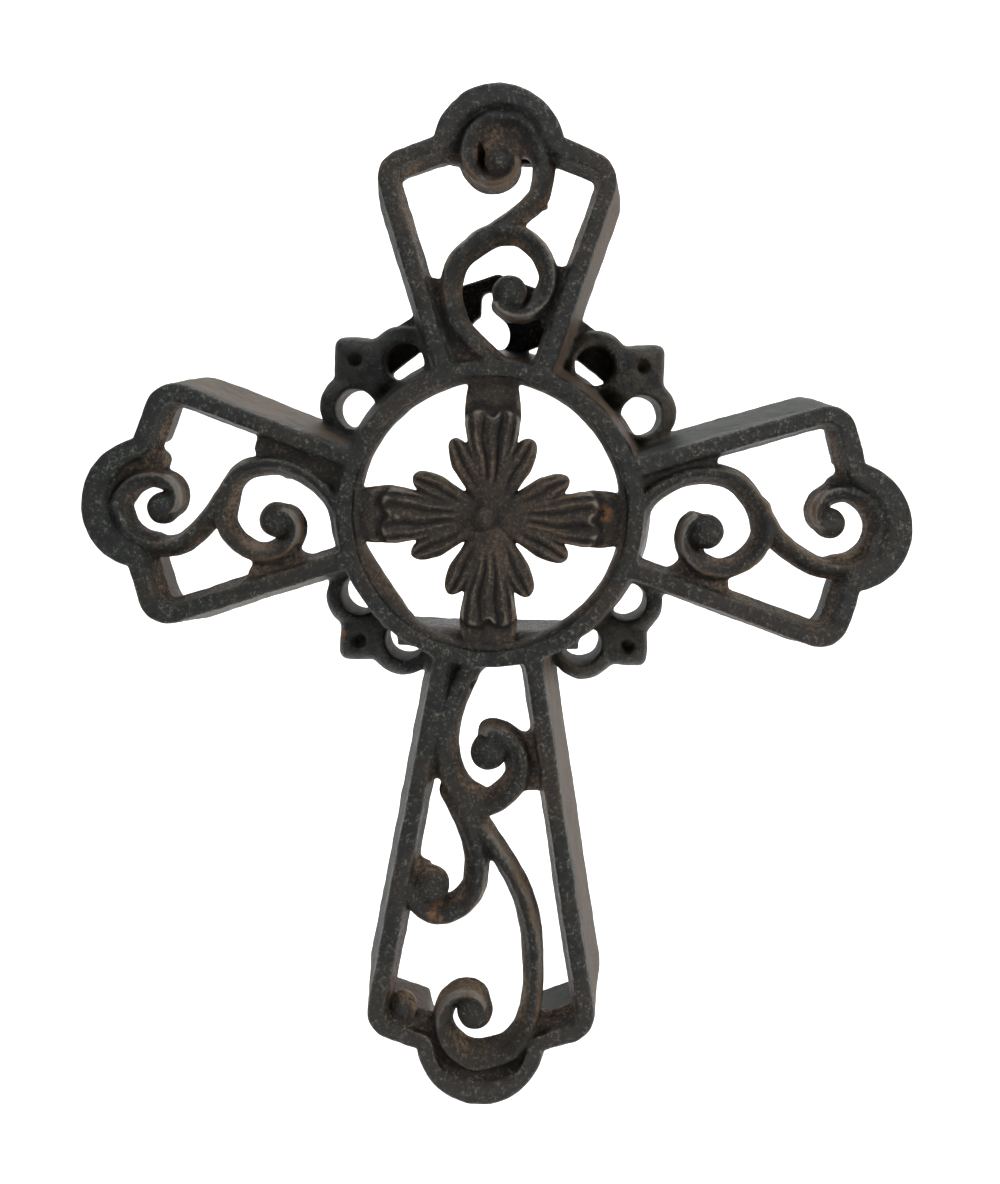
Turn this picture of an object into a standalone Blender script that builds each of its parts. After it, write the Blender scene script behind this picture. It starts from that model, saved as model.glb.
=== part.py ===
"""Cast iron wall cross: one hollow-backed casting.

Four flared arms stand round a ring. Each arm is a deep rim, open at the back, that ends in two
rounded shoulders and a half-round hump. Scrolls fill the arms at the front, a flower fills the ring,
and four pierced corner ornaments join the arms further back. A plate with a keyhole at the back of
the top arm hangs the cross on a nail.

Sizes are in millimetres, measured from the centre of the ring: X to the right, Z up, Y towards the
wall. An arm has its own two axes: u outwards from the centre of the ring, and v across. The object's
origin is on the back of the hanger plate, just above the keyhole. Axis v runs anticlockwise from u, seen
from the front, and angles are counted the same way.
"""

import math

import bmesh
import bpy
from mathutils import Matrix, Vector

MM = 0.001

# Depths
DEPTH = 24.0
PLATE_RECESS = 0.5
BACK = PLATE_RECESS
FRONT = BACK - DEPTH

# Rims
WALL = 3.75
DRAFT = 3.2
RIM_FLANK = 1.3
CORNER_STEPS = 4
HUMP_STEPS = 12

# Ring round the flower
RING_OUTER = 36.0
RING_WALL = 3.75
RING_DRAFT = 5.0
RING_BACK_WALL = 4.6
RING_STEPS = 48
LEDGE_INNER = 31.0
LEDGE_SET_BACK = 1.8
LEDGE_CHAMFER = 0.6

# Scrolls, webs and flower lie in one layer behind the front faces
SCROLL_SET_BACK = 0.6
SCROLL_BACK = 6.6
SCROLL_SHOULDER = 2.4
SCROLL_CREST = 0.46
BALL_MIDDLE = 3.8
WEB_SET_BACK = 3.0
CURL_STEP = 29.0
CURL_TAPER = 0.34
CURL_HASTE = 1.6
WELL_OVERLAP = 1.0
WELL_REACH = 4.2

# Flower
FLOWER_DROP = 1.1
BIG_PETALS = 4
BIG_PETAL_HALF = 6.9
BIG_PETAL_WAIST = 3.4
SMALL_PETAL_TIP = 20.9
SMALL_PETAL_HALF = 3.3
SMALL_PETAL_LEAN = 27.0
PETAL_ROOT = 2.0
PETAL_SET_BACK = 1.2
PETAL_GROOVE = 1.1
BOSS_RADIUS = 2.9
BOSS_SHIFT = -1.5
DISC_RADIUS = 7.4

# Corner ornaments
ORNAMENT_DEPTH = 12.0
ORNAMENT_ROUNDING = 1.6
SCALLOP_NEAR = 24.3
SCALLOP_FAR = 36.6
SCALLOP_RADIUS = 8.3
SCALLOP_HOLE = 4.9
HOLE_INSET = 1.2
LOBE_TIP = 41.6
LOBE_TIP_RADIUS = 2.6
LOBE_NECK = 31.0
LOBE_ROOT = 22.0
LOBE_CORE = 27.5
DIMPLE_PLACE = 35.6
DIMPLE_RADIUS = 1.8
DIMPLE_DEPTH = 2.6
UPPER_ORNAMENT = 1.0
LOWER_ORNAMENT = 0.93
ORNAMENT_SHIFT_X = 1.0
UPPER_SHIFT_Z = 0.6
RING_BORE = 37.4

# Hanger plate behind the top arm
PLATE_THICKNESS = 3.0
PLATE_APEX = 60.0
PLATE_CREST_HALF = 10.0
PLATE_CREST_DROP = 3.6
PLATE_HALF = 33.0
PLATE_END_TOP = 41.0
PLATE_END_BOTTOM = 28.5
PLATE_ARMPIT_HALF = 15.0
PLATE_ARMPIT = 43.0
KEYHOLE_X = -2.0
KEYHOLE_Z = 44.0
KEYHOLE_RADIUS = 5.25
KEYHOLE_TOP = 55.2
KEYHOLE_SLOT_HALF = 2.2
KEYHOLE_RIM = 4.2
HANG_Z = 57.0

# Stiffeners at the back
BAR_TOP = -29.0
BAR_THICKNESS = 4.0
BAR_HALF = 24.0
BAR_DEPTH = 14.0
HUMP_PLATE_THICKNESS = 3.0
HUMP_PLATE_START = 88.0
KNOB = (118.0, -18.6)
KNOB_RADIUS = 3.3
FLAT_ANGLE = 1.0
WELD_DISTANCE = 0.00001


class Arm:
    """The front outline of one arm, in its own axes, and the angle that its axis u makes with X."""

    def __init__(self, turn, root_half, corner, corner_radius, shoulder_slope, tip, hump_radius, well):
        self.turn = math.radians(turn)
        self.root_u = RING_OUTER
        self.root_half = root_half
        self.corner = Vector((corner[0], corner[1] - corner_radius))
        self.corner_radius = corner_radius
        self.shoulder_slope = math.radians(shoulder_slope)
        self.hump = Vector((tip - hump_radius, 0.0))
        self.hump_radius = hump_radius
        self.well = Vector((well[0], 0.0))
        self.well_radius = well[1]
        self.well_spread = math.radians(well[2])

    def place(self, u, v, y):
        """The point in X, Y and Z."""
        along = Vector((math.cos(self.turn), 0, math.sin(self.turn)))
        across = Vector((-math.sin(self.turn), 0, math.cos(self.turn)))
        return along * u + across * v + Vector((0, y, 0))

    def outline(self, grow, end_radius, inside=False):
        """Points (u, v) round the arm at a distance grow outside its front outline.

        Both ends lie where the sides meet a circle of end_radius about the centre of the ring. With
        inside set, the end of the arm follows the round well in the hump instead of the hump itself.
        """
        hump = self.well if inside else self.hump
        hump_radius = self.well_radius + grow + WALL if inside else self.hump_radius + grow
        radius = self.corner_radius + grow
        to_centre = self.corner - Vector((self.root_u, self.root_half))
        lean = math.atan2(to_centre.y, to_centre.x) + math.asin(self.corner_radius / to_centre.length)
        side = Vector((math.cos(lean), math.sin(lean)))
        start = self.corner + radius * Vector((-side.y, side.x))
        along = side.dot(start)
        start = start - side * (along - math.sqrt(end_radius**2 - start.length_squared + along**2))
        half = [start]
        first = math.pi / 2 + lean
        for step in range(CORNER_STEPS + 1):
            angle = first + (self.shoulder_slope - first) * step / CORNER_STEPS
            half.append(self.corner + radius * Vector((math.cos(angle), math.sin(angle))))
        inwards = Vector((math.sin(self.shoulder_slope), -math.cos(self.shoulder_slope)))
        from_hump = half[-1] - hump
        along = inwards.dot(from_hump)
        reach = -along - math.sqrt(hump_radius**2 - from_hump.length_squared + along**2)
        junction = half[-1] + inwards * reach
        spread = math.atan2(junction.y, junction.x - hump.x)
        for step in range(HUMP_STEPS // 2 + 1):
            angle = spread * (1 - 2 * step / HUMP_STEPS)
            half.append(hump + hump_radius * Vector((math.cos(angle), math.sin(angle))))
        return half + [Vector((point.x, -point.y)) for point in reversed(half[:-1])]


ARMS = {
    "top": Arm(90.0, 14.6, (78.6, 28.2), 7.0, 22, 101.3, 15.4, (85.3, 11.3, 104)),
    "left": Arm(179.5, 14.8, (75.0, 28.2), 7.0, 18, 96.2, 15.4, (79.5, 11.3, 104)),
    "bottom": Arm(270.25, 13.0, (117.2, 26.6), 6.5, 18, 138.7, 14.9, (117.2, 16.4, 80)),
    "right": Arm(-0.9, 14.8, (78.6, 28.3), 7.0, 15, 99.5, 15.2, (82.5, 11.0, 104)),
}


class Strand:
    """One scroll: points (u, v) along its middle, then a curl that tightens round a ball (u, v, radius)."""

    def __init__(self, arm, points, ball, enter, radius, sweep, width=5.4):
        self.arm = arm
        self.points = points
        self.ball = ball
        self.enter = math.radians(enter)
        self.radius = radius
        self.sweep = math.radians(sweep)
        self.width = width

    def middle(self):
        """All the points (u, v, width), with those of the curl worked out."""
        points = [(u, v, self.width) for u, v in self.points]
        u, v, last_radius = self.ball
        steps = round(abs(math.degrees(self.sweep)) / CURL_STEP)
        for step in range(steps + 1):
            share = step / steps
            angle = self.enter + self.sweep * share
            radius = last_radius + (self.radius - last_radius) * (1 - share) ** CURL_HASTE
            width = self.width * (1 - CURL_TAPER * share)
            points.append((u + radius * math.cos(angle), v + radius * math.sin(angle), width))
        return points


STRANDS = {
    "top_main": Strand(
        "top",
        [(35.4, -0.9), (43.4, 7.8), (48.6, 9.9), (53.9, 10.7), (60.5, 8.6), (66.8, 0.3), (73.7, -8.1), (78.3, -10.4),
         (86.9, -10.4), (93.5, -5.4)],
        ball=(83.5, -0.3, 3.4), enter=4, radius=10.6, sweep=268,
    ),
    "top_branch": Strand(
        "top", [(64.5, 4.5), (66.4, 0.7)], ball=(52.5, -3.4, 4.2), enter=-6, radius=14.2, sweep=-215,
    ),
    "left_main": Strand(
        "left",
        [(34.0, 9.6), (35.4, 4.4), (37.0, -0.9), (40.6, -5.0), (45.4, -8.2), (50.7, -9.8), (55.9, -9.3), (60.2, -7.1),
         (65.2, 1.0), (70.9, 7.9), (75.2, 10.2), (80.7, 10.3), (85.8, 7.6)],
        ball=(77.8, 1.2, 3.9), enter=0, radius=10.8, sweep=-215, width=5.2,
    ),
    "left_branch": Strand(
        "left", [(62.6, -2.6)], ball=(50.8, 3.2, 4.4), enter=0, radius=12.6, sweep=220,
    ),
    "right_main": Strand(
        "right",
        [(34.2, -5.7), (35.0, -0.4), (37.2, 4.6), (41.3, 8.0), (46.1, 10.4), (50.8, 11.3), (56.4, 10.6), (60.0, 8.4),
         (63.3, 4.4), (68.9, -4.0), (76.7, -9.2), (82.3, -10.4), (86.8, -9.7), (90.5, -6.7)],
        ball=(80.7, 0.6, 3.8), enter=0, radius=11.7, sweep=215, width=5.2,
    ),
    "right_branch": Strand(
        "right", [(64.3, 3.5)], ball=(51.4, -2.5, 4.3), enter=0, radius=14.0, sweep=-225,
    ),
    "bottom_upper": Strand(
        "bottom",
        [(34.6, -3.0), (42.6, -7.0), (47.9, -8.8), (52.7, -9.7), (57.5, -9.6), (62.2, -8.3), (66.5, -5.4)],
        ball=(56.8, 0.6, 4.3), enter=-2, radius=12.8, sweep=175, width=6.2,
    ),
    "bottom_left": Strand(
        "bottom", [(66.6, -8.0), (71.7, -5.3), (75.5, -3.6), (79.5, -2.3), (83.1, -1.7)],
        ball=(88.6, -12.4, 4.3), enter=88, radius=10.3, sweep=-170, width=6.2,
    ),
    "bottom_right": Strand(
        "bottom",
        [(69.0, -5.0), (75.4, -0.5), (83.5, 5.1), (88.0, 7.7), (93.7, 10.1), (99.6, 11.5), (106.8, 12.1),
         (113.9, 12.2), (119.5, 11.4), (124.5, 9.3), (127.9, 5.8)],
        ball=(118.3, -1.6, 4.4), enter=4, radius=11.4, sweep=-230, width=5.2,
    ),
}

# Flat webs that close the narrow gaps between a scroll and the rim beside it
WEBS = [
    ("top", [(33.2, 14.0), (55.3, 18.6), (55.7, 14.8), (54.8, 11.4), (45.7, 8.8), (36.4, 1.0)]),
    ("top", [(59.6, -12.0), (59.0, -15.9), (59.4, -20.0), (45.8, -16.9), (45.0, -11.2), (50.9, -10.0)]),
    ("left", [(55.1, -18.7), (56.6, -13.6), (55.4, -9.4), (45.7, -7.6), (38.4, -1.6), (34.4, 7.6), (33.4, -9.1)]),
    ("left", [(55.6, 12.0), (57.0, 15.6), (57.6, 20.3), (42.4, 15.3), (43.0, 12.0), (45.7, 10.2)]),
    ("right", [(54.5, 19.4), (53.6, 15.0), (53.8, 11.4), (44.9, 10.0), (38.3, 5.5), (35.0, -2.8), (33.8, 11.5)]),
    ("right", [(57.1, -11.6), (57.3, -15.5), (58.6, -19.4), (42.4, -14.0), (43.7, -11.2), (46.0, -9.2)]),
    ("bottom", [(34.1, -11.8), (61.6, -17.9), (63.6, -13.2), (62.8, -9.4), (49.6, -10.2), (35.2, -6.6)]),
    ("bottom", [(52.9, 6.4), (52.4, 10.4), (52.0, 15.4), (66.0, 17.0), (65.6, 12.4), (66.1, 7.7)]),
    ("bottom", [(82.4, -20.4), (83.4, -15.7), (84.2, -12.8), (93.8, -14.1), (94.0, -17.9), (94.8, -22.7)]),
]


def new_object(name, mesh, collection):
    thing = bpy.data.objects.new(name, mesh)
    collection.objects.link(thing)
    return thing


def object_from(name, bm, collection):
    """Makes an object of a bmesh in millimetres about the ring's centre, its faces pointing out."""
    bmesh.ops.recalc_face_normals(bm, faces=bm.faces)
    bmesh.ops.translate(bm, verts=bm.verts, vec=(0, 0, -HANG_Z))
    bmesh.ops.scale(bm, verts=bm.verts, vec=(MM, MM, MM))
    mesh = bpy.data.meshes.new(name)
    bm.to_mesh(mesh)
    bm.free()
    return new_object(name, mesh, collection)


def loft(name, loops, collection, ring=False):
    """Skins equal loops of points. The ends are capped, or joined to each other if ring is set."""
    bm = bmesh.new()
    rows = [[bm.verts.new(point) for point in loop] for loop in loops]
    pairs = list(zip(rows, rows[1:]))
    if ring:
        pairs.append((rows[-1], rows[0]))
    for one, two in pairs:
        for i in range(len(one)):
            j = (i + 1) % len(one)
            bm.faces.new((one[i], one[j], two[j], two[i]))
    if not ring:
        bm.faces.new(rows[0])
        bm.faces.new(list(reversed(rows[-1])))
    return object_from(name, bm, collection)


def slab(name, outline, front, back, collection, rounding=0.0):
    """A flat outline of points (x, z) made thick along Y, its front edge drawn in by rounding."""
    middle = sum((Vector(point) for point in outline), Vector((0, 0))) / len(outline)
    levels = [(back, 0.0), (front + rounding, 0.0)]
    if rounding:
        levels.append((front, rounding))
    else:
        levels[-1] = (front, 0.0)
    loops = []
    for y, inset in levels:
        loop = []
        for point in outline:
            arm = Vector(point) - middle
            flat = middle + arm * (1 - inset / arm.length)
            loop.append((flat.x, y, flat.y))
        loops.append(loop)
    return loft(name, loops, collection)


def circle(centre_x, centre_z, radius, steps):
    points = []
    for step in range(steps):
        angle = 2 * math.pi * step / steps
        points.append((centre_x + radius * math.cos(angle), centre_z + radius * math.sin(angle)))
    return points


def smooth_path(points, parts):
    """A curve through the points (u, v, width), each stretch cut into equal parts."""
    path = []
    for i in range(len(points) - 1):
        before = Vector(points[max(i - 1, 0)])
        start = Vector(points[i])
        end = Vector(points[i + 1])
        after = Vector(points[min(i + 2, len(points) - 1)])
        for part in range(parts):
            t = part / parts
            bend = (end - before) * t + (2 * before - 5 * start + 4 * end - after) * t**2
            bend += (3 * start - before - 3 * end + after) * t**3
            path.append(start + bend / 2)
    return path + [Vector(points[-1])]


def boolean(target, operation, collection):
    modifier = target.modifiers.new(operation.lower(), "BOOLEAN")
    modifier.operation = operation
    modifier.operand_type = "COLLECTION"
    modifier.collection = collection
    modifier.solver = "MANIFOLD" if operation == "UNION" else "EXACT"


def tidy_faces(target):
    """Joins the flat faces that the union splits, then cuts every face into even triangles."""
    weld = target.modifiers.new("weld", "WELD")
    weld.merge_threshold = WELD_DISTANCE
    flatten = target.modifiers.new("flatten", "DECIMATE")
    flatten.decimate_type = "DISSOLVE"
    flatten.angle_limit = math.radians(FLAT_ANGLE)
    triangles = target.modifiers.new("triangles", "TRIANGULATE")
    triangles.quad_method = "BEAUTY"
    triangles.ngon_method = "BEAUTY"


def make_rim(key, arm, collection):
    """The deep wall round one arm, from the ring out over the hump and back."""
    front_end = RING_OUTER - RING_WALL / 2
    back_end = RING_OUTER + RING_DRAFT - RING_BACK_WALL / 2
    corners = [
        (arm.outline(0, front_end), FRONT),
        (arm.outline(DRAFT, back_end), BACK),
        (arm.outline(DRAFT - WALL, back_end), BACK),
        (arm.outline(DRAFT * SCROLL_BACK / DEPTH - WALL, front_end), FRONT + SCROLL_BACK),
        (arm.outline(-WALL - RIM_FLANK, front_end, True), FRONT + SCROLL_BACK),
        (arm.outline(-WALL, front_end, True), FRONT),
    ]
    loops = []
    for i in range(len(corners[0][0])):
        loops.append([arm.place(outline[i].x, outline[i].y, y) for outline, y in corners])
    return loft("rim_" + key, loops, collection)


def make_ring(collection):
    """A turned profile: the band, the ledge inside it that carries the flower, and the wall behind."""
    ledge_front = FRONT + LEDGE_SET_BACK
    back_outer = RING_OUTER + RING_DRAFT
    back_inner = back_outer - RING_BACK_WALL
    ledge_back = FRONT + SCROLL_BACK
    wall_inner = RING_OUTER - RING_WALL + (back_inner - RING_OUTER + RING_WALL) * SCROLL_BACK / DEPTH
    profile = [
        (RING_OUTER, FRONT),
        (back_outer, BACK),
        (back_inner, BACK),
        (wall_inner, ledge_back),
        (LEDGE_INNER, ledge_back),
        (LEDGE_INNER, ledge_front + LEDGE_CHAMFER),
        (LEDGE_INNER + LEDGE_CHAMFER, ledge_front),
        (RING_OUTER - RING_WALL, ledge_front),
        (RING_OUTER - RING_WALL, FRONT),
    ]
    bm = bmesh.new()
    dots = [bm.verts.new((radius, y, 0)) for radius, y in reversed(profile)]
    for i, dot in enumerate(dots):
        bm.edges.new((dot, dots[(i + 1) % len(dots)]))
    bmesh.ops.scale(bm, verts=bm.verts, vec=(MM, MM, MM))
    mesh = bpy.data.meshes.new("ring")
    bm.to_mesh(mesh)
    bm.free()
    ring = new_object("ring", mesh, collection)
    ring.location = (0, 0, -HANG_Z * MM)
    screw = ring.modifiers.new("turn", "SCREW")
    screw.axis = "Y"
    screw.steps = RING_STEPS
    screw.render_steps = RING_STEPS
    screw.use_merge_vertices = True
    screw.merge_threshold = 0.00001
    return ring


def make_strand(key, strand, collection):
    """A scroll with a flat back, upright flanks and a narrower crest."""
    arm = ARMS[strand.arm]
    points = strand.middle()
    joint = len(strand.points)
    path = smooth_path(points[: joint + 1], 2)[:-1] + [Vector(point) for point in points[joint:]]
    loops = []
    for i, point in enumerate(path):
        run = (path[min(i + 1, len(path) - 1)] - path[max(i - 1, 0)]).to_2d().normalized()
        across = Vector((-run.y, run.x))
        half = point.z / 2
        section = [
            (half, SCROLL_BACK),
            (half, SCROLL_SHOULDER),
            (half * SCROLL_CREST, SCROLL_SET_BACK),
            (-half * SCROLL_CREST, SCROLL_SET_BACK),
            (-half, SCROLL_SHOULDER),
            (-half, SCROLL_BACK),
        ]
        loop = []
        for offset, behind in section:
            flat = point.to_2d() + across * offset
            loop.append(arm.place(flat.x, flat.y, FRONT + behind))
        loops.append(loop)
    return loft("scroll_" + key, loops, collection)


def make_ball(key, arm, place, collection):
    """The rounded end of a curl: a dome on a short stub."""
    u, v, radius = place
    bm = bmesh.new()
    bmesh.ops.create_uvsphere(bm, u_segments=10, v_segments=6, radius=radius)
    bmesh.ops.rotate(bm, verts=bm.verts, matrix=Matrix.Rotation(math.pi / 2, 3, "X"))
    bmesh.ops.scale(bm, verts=bm.verts, vec=(1, (BALL_MIDDLE - SCROLL_SET_BACK) / radius, 1))
    middle = FRONT + BALL_MIDDLE
    bmesh.ops.translate(bm, verts=bm.verts, vec=ARMS[arm].place(u, v, middle))
    return object_from("ball_" + key, bm, collection)


def make_web(index, arm, outline, collection):
    flat = [ARMS[arm].place(u, v, 0) for u, v in outline]
    points = [(point.x, point.z) for point in flat]
    return slab(f"web_{index}", points, FRONT + WEB_SET_BACK, FRONT + SCROLL_BACK - 0.3, collection)


def make_well(key, arm, collection):
    """The sunk crescent between the curl in a hump and the rim."""
    outer = arm.well_radius + WELL_OVERLAP
    inner = arm.well_radius - WELL_REACH
    loops = []
    for step in range(HUMP_STEPS + 1):
        angle = arm.well_spread * (1 - 2 * step / HUMP_STEPS)
        loop = []
        for radius, behind in (
            (outer, WEB_SET_BACK),
            (outer, SCROLL_BACK - 0.2),
            (inner, SCROLL_BACK - 0.2),
            (inner, WEB_SET_BACK),
        ):
            u = arm.well.x + radius * math.cos(angle)
            loop.append(arm.place(u, radius * math.sin(angle), FRONT + behind))
        loops.append(loop)
    return loft("well_" + key, loops, collection)


def make_petal(name, turn, stations, collection):
    """A petal with two ribs and a groove between them, from stations (distance, half width, rise)."""
    along = Vector((math.cos(turn), 0, math.sin(turn)))
    across = Vector((-math.sin(turn), 0, math.cos(turn)))
    loops = []
    for distance, half, rise in stations:
        crest = SCROLL_BACK - (SCROLL_BACK - PETAL_SET_BACK) * rise
        section = [
            (half, SCROLL_BACK),
            (half, crest + (SCROLL_BACK - crest) * 0.45),
            (half * 0.55, crest),
            (0, crest + PETAL_GROOVE * rise),
            (-half * 0.55, crest),
            (-half, crest + (SCROLL_BACK - crest) * 0.45),
            (-half, SCROLL_BACK),
        ]
        loops.append(
            [along * distance + across * offset + Vector((0, FRONT + y, -FLOWER_DROP)) for offset, y in section]
        )
    return loft(name, loops, collection)


def make_flower(collection):
    tip = LEDGE_INNER + 1.2
    big = [
        (PETAL_ROOT, BIG_PETAL_WAIST * 0.8, 0.8),
        (10.0, BIG_PETAL_WAIST, 0.82),
        (18.0, BIG_PETAL_HALF * 0.86, 0.94),
        (24.0, BIG_PETAL_HALF, 1.0),
        (28.0, BIG_PETAL_HALF * 0.96, 0.86),
        (tip, BIG_PETAL_HALF * 0.88, 0.6),
    ]
    small = [
        (PETAL_ROOT + 1.5, SMALL_PETAL_HALF * 0.6, 0.7),
        (9.0, SMALL_PETAL_HALF * 0.84, 0.72),
        (14.5, SMALL_PETAL_HALF, 0.84),
        (18.5, SMALL_PETAL_HALF * 0.86, 0.8),
        (SMALL_PETAL_TIP, SMALL_PETAL_HALF * 0.4, 0.6),
    ]
    for i in range(BIG_PETALS):
        turn = 2 * math.pi * i / BIG_PETALS
        make_petal(f"petal_{i}", turn, big, collection)
        for side in (-1, 1):
            lean = math.radians(SMALL_PETAL_LEAN) * side
            make_petal(f"small_petal_{i}_{side}", turn + lean, small, collection)
    slab("flower_disc", circle(0, -FLOWER_DROP, DISC_RADIUS, 24), FRONT + 2.6, FRONT + SCROLL_BACK - 0.2, collection, 1.5)
    bm = bmesh.new()
    bmesh.ops.create_uvsphere(bm, u_segments=10, v_segments=6, radius=BOSS_RADIUS)
    bmesh.ops.rotate(bm, verts=bm.verts, matrix=Matrix.Rotation(math.pi / 2, 3, "X"))
    bmesh.ops.translate(bm, verts=bm.verts, vec=(BOSS_SHIFT, FRONT + BOSS_RADIUS + 0.9, -FLOWER_DROP))
    object_from("boss", bm, collection)


def mirrored(outline, side_x, side_z, size):
    """The outline of the upper right ornament, put in one of the four corners."""
    rise = UPPER_SHIFT_Z if side_z > 0 else 0.0
    return [(x * side_x * size + ORNAMENT_SHIFT_X, z * side_z * size + rise) for x, z in outline]


def lobe_outline():
    """The pointed leaf between two scallops, the same on both sides of its diagonal."""
    turn = LOBE_TIP - LOBE_TIP_RADIUS
    half = [(LOBE_ROOT, LOBE_NECK + 1.0), (LOBE_NECK, LOBE_TIP - 0.4), (LOBE_NECK + 5.0, LOBE_TIP)]
    tip = []
    for step in range(4):
        angle = math.pi / 2 * (1 - step / 3)
        x = turn + LOBE_TIP_RADIUS * math.cos(angle)
        z = turn + LOBE_TIP_RADIUS * math.sin(angle)
        tip.append((x, z + (0.4 if step == 0 else 0.0)))
    other = [(z, x) for x, z in reversed(half)]
    return half + tip + other + [(LOBE_CORE, LOBE_CORE)]


def make_ornament(key, side_x, side_z, size, collection, cuts):
    """Two pierced scallops and the leaf between them, joined to the walls beside them."""
    front = BACK - ORNAMENT_DEPTH
    back = BACK - 0.25
    pieces = bpy.data.collections.new("pieces_" + key)
    cuts.children.link(pieces)
    lobe = mirrored(lobe_outline(), side_x, side_z, size)
    body = slab("ornament_" + key, lobe, front, back, collection, ORNAMENT_ROUNDING)
    holes = bpy.data.collections.new("holes_" + key)
    cuts.children.link(holes)
    middles = mirrored(
        [(SCALLOP_NEAR, SCALLOP_FAR), (SCALLOP_FAR, SCALLOP_NEAR), (DIMPLE_PLACE, DIMPLE_PLACE)], side_x, side_z, size
    )
    for name, (x, z) in zip(("near", "far"), middles):
        disc = circle(x, z, SCALLOP_RADIUS, 20)
        slab(f"scallop_{name}_{key}", disc, front + 0.2, back - 0.15, pieces, ORNAMENT_ROUNDING)
        inset = 1 - HOLE_INSET / math.hypot(x, z)
        slab(f"hole_{name}_{key}", circle(x * inset, z * inset, SCALLOP_HOLE, 14), front - 4, BACK + 4, holes)
    bm = bmesh.new()
    bmesh.ops.create_uvsphere(bm, u_segments=8, v_segments=6, radius=DIMPLE_RADIUS)
    bmesh.ops.scale(bm, verts=bm.verts, vec=(1, DIMPLE_DEPTH / DIMPLE_RADIUS, 1))
    bmesh.ops.translate(bm, verts=bm.verts, vec=(middles[2][0], front, middles[2][1]))
    object_from("dimple_" + key, bm, holes)
    slab("bore_" + key, circle(0, 0, RING_BORE, RING_STEPS), front - 3, BACK + 3, holes)
    boolean(body, "UNION", pieces)
    boolean(body, "DIFFERENCE", holes)
    return body


def make_plate(collection, cuts):
    """The hanger: a roof-shaped strap between the upper ornaments, with a keyhole in its middle."""
    right = [
        (0.0, PLATE_APEX),
        (PLATE_CREST_HALF, PLATE_APEX - PLATE_CREST_DROP),
        (PLATE_HALF, PLATE_END_TOP),
        (PLATE_HALF, PLATE_END_BOTTOM),
        (PLATE_ARMPIT_HALF, PLATE_ARMPIT),
    ]
    left = [(-x, z) for x, z in reversed(right[1:])]
    reach = KEYHOLE_RADIUS + KEYHOLE_RIM
    lobe = []
    for angle in (-25, -60, -90, -120, -155):
        x = KEYHOLE_X + reach * math.cos(math.radians(angle))
        lobe.append((x, KEYHOLE_Z + reach * math.sin(math.radians(angle))))
    plate = slab("hanger", right + lobe + left, -PLATE_THICKNESS, 0, collection)
    keyhole = bpy.data.collections.new("keyhole")
    cuts.children.link(keyhole)
    top = KEYHOLE_TOP - KEYHOLE_SLOT_HALF
    slot = [(KEYHOLE_X - KEYHOLE_SLOT_HALF, KEYHOLE_Z)]
    for angle in (180, 135, 90, 45, 0):
        x = KEYHOLE_X + KEYHOLE_SLOT_HALF * math.cos(math.radians(angle))
        slot.append((x, top + KEYHOLE_SLOT_HALF * math.sin(math.radians(angle))))
    slot.append((KEYHOLE_X + KEYHOLE_SLOT_HALF, KEYHOLE_Z))
    slab("slot", slot, -PLATE_THICKNESS - 2, 2, keyhole)
    slab("eye", circle(KEYHOLE_X, KEYHOLE_Z, KEYHOLE_RADIUS, 20), -PLATE_THICKNESS - 3, 3, keyhole)
    boolean(plate, "DIFFERENCE", keyhole)
    return plate


def make_stiffeners(collection):
    """The bar behind the ring, the plate that closes the top hump, and a lump in the bottom arm."""
    bar = [
        (-BAR_HALF, BAR_TOP),
        (BAR_HALF, BAR_TOP),
        (BAR_HALF, BAR_TOP - BAR_THICKNESS),
        (-BAR_HALF, BAR_TOP - BAR_THICKNESS),
    ]
    slab("bar", bar, BACK - BAR_DEPTH, BACK - 0.35, collection)
    top = ARMS["top"]
    radius = top.hump_radius + DRAFT - WALL / 2
    spread = math.acos((HUMP_PLATE_START - top.hump.x) / radius)
    cap = []
    for step in range(HUMP_STEPS + 1):
        angle = spread * (1 - 2 * step / HUMP_STEPS)
        cap.append((radius * math.sin(angle), top.hump.x + radius * math.cos(angle)))
    slab("hump_plate", cap, BACK - 0.4 - HUMP_PLATE_THICKNESS, BACK - 0.4, collection)
    bm = bmesh.new()
    bmesh.ops.create_uvsphere(bm, u_segments=8, v_segments=6, radius=KNOB_RADIUS)
    bmesh.ops.translate(bm, verts=bm.verts, vec=ARMS["bottom"].place(*KNOB, FRONT + 4.2))
    object_from("knob", bm, collection)


def iron():
    """Worn black cast iron."""
    material = bpy.data.materials.new("cast_iron")
    material.use_nodes = True
    shader = material.node_tree.nodes["Principled BSDF"]
    shader.inputs["Base Color"].default_value = (0.045, 0.042, 0.038, 1)
    shader.inputs["Metallic"].default_value = 0.6
    shader.inputs["Roughness"].default_value = 0.55
    return material


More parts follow.
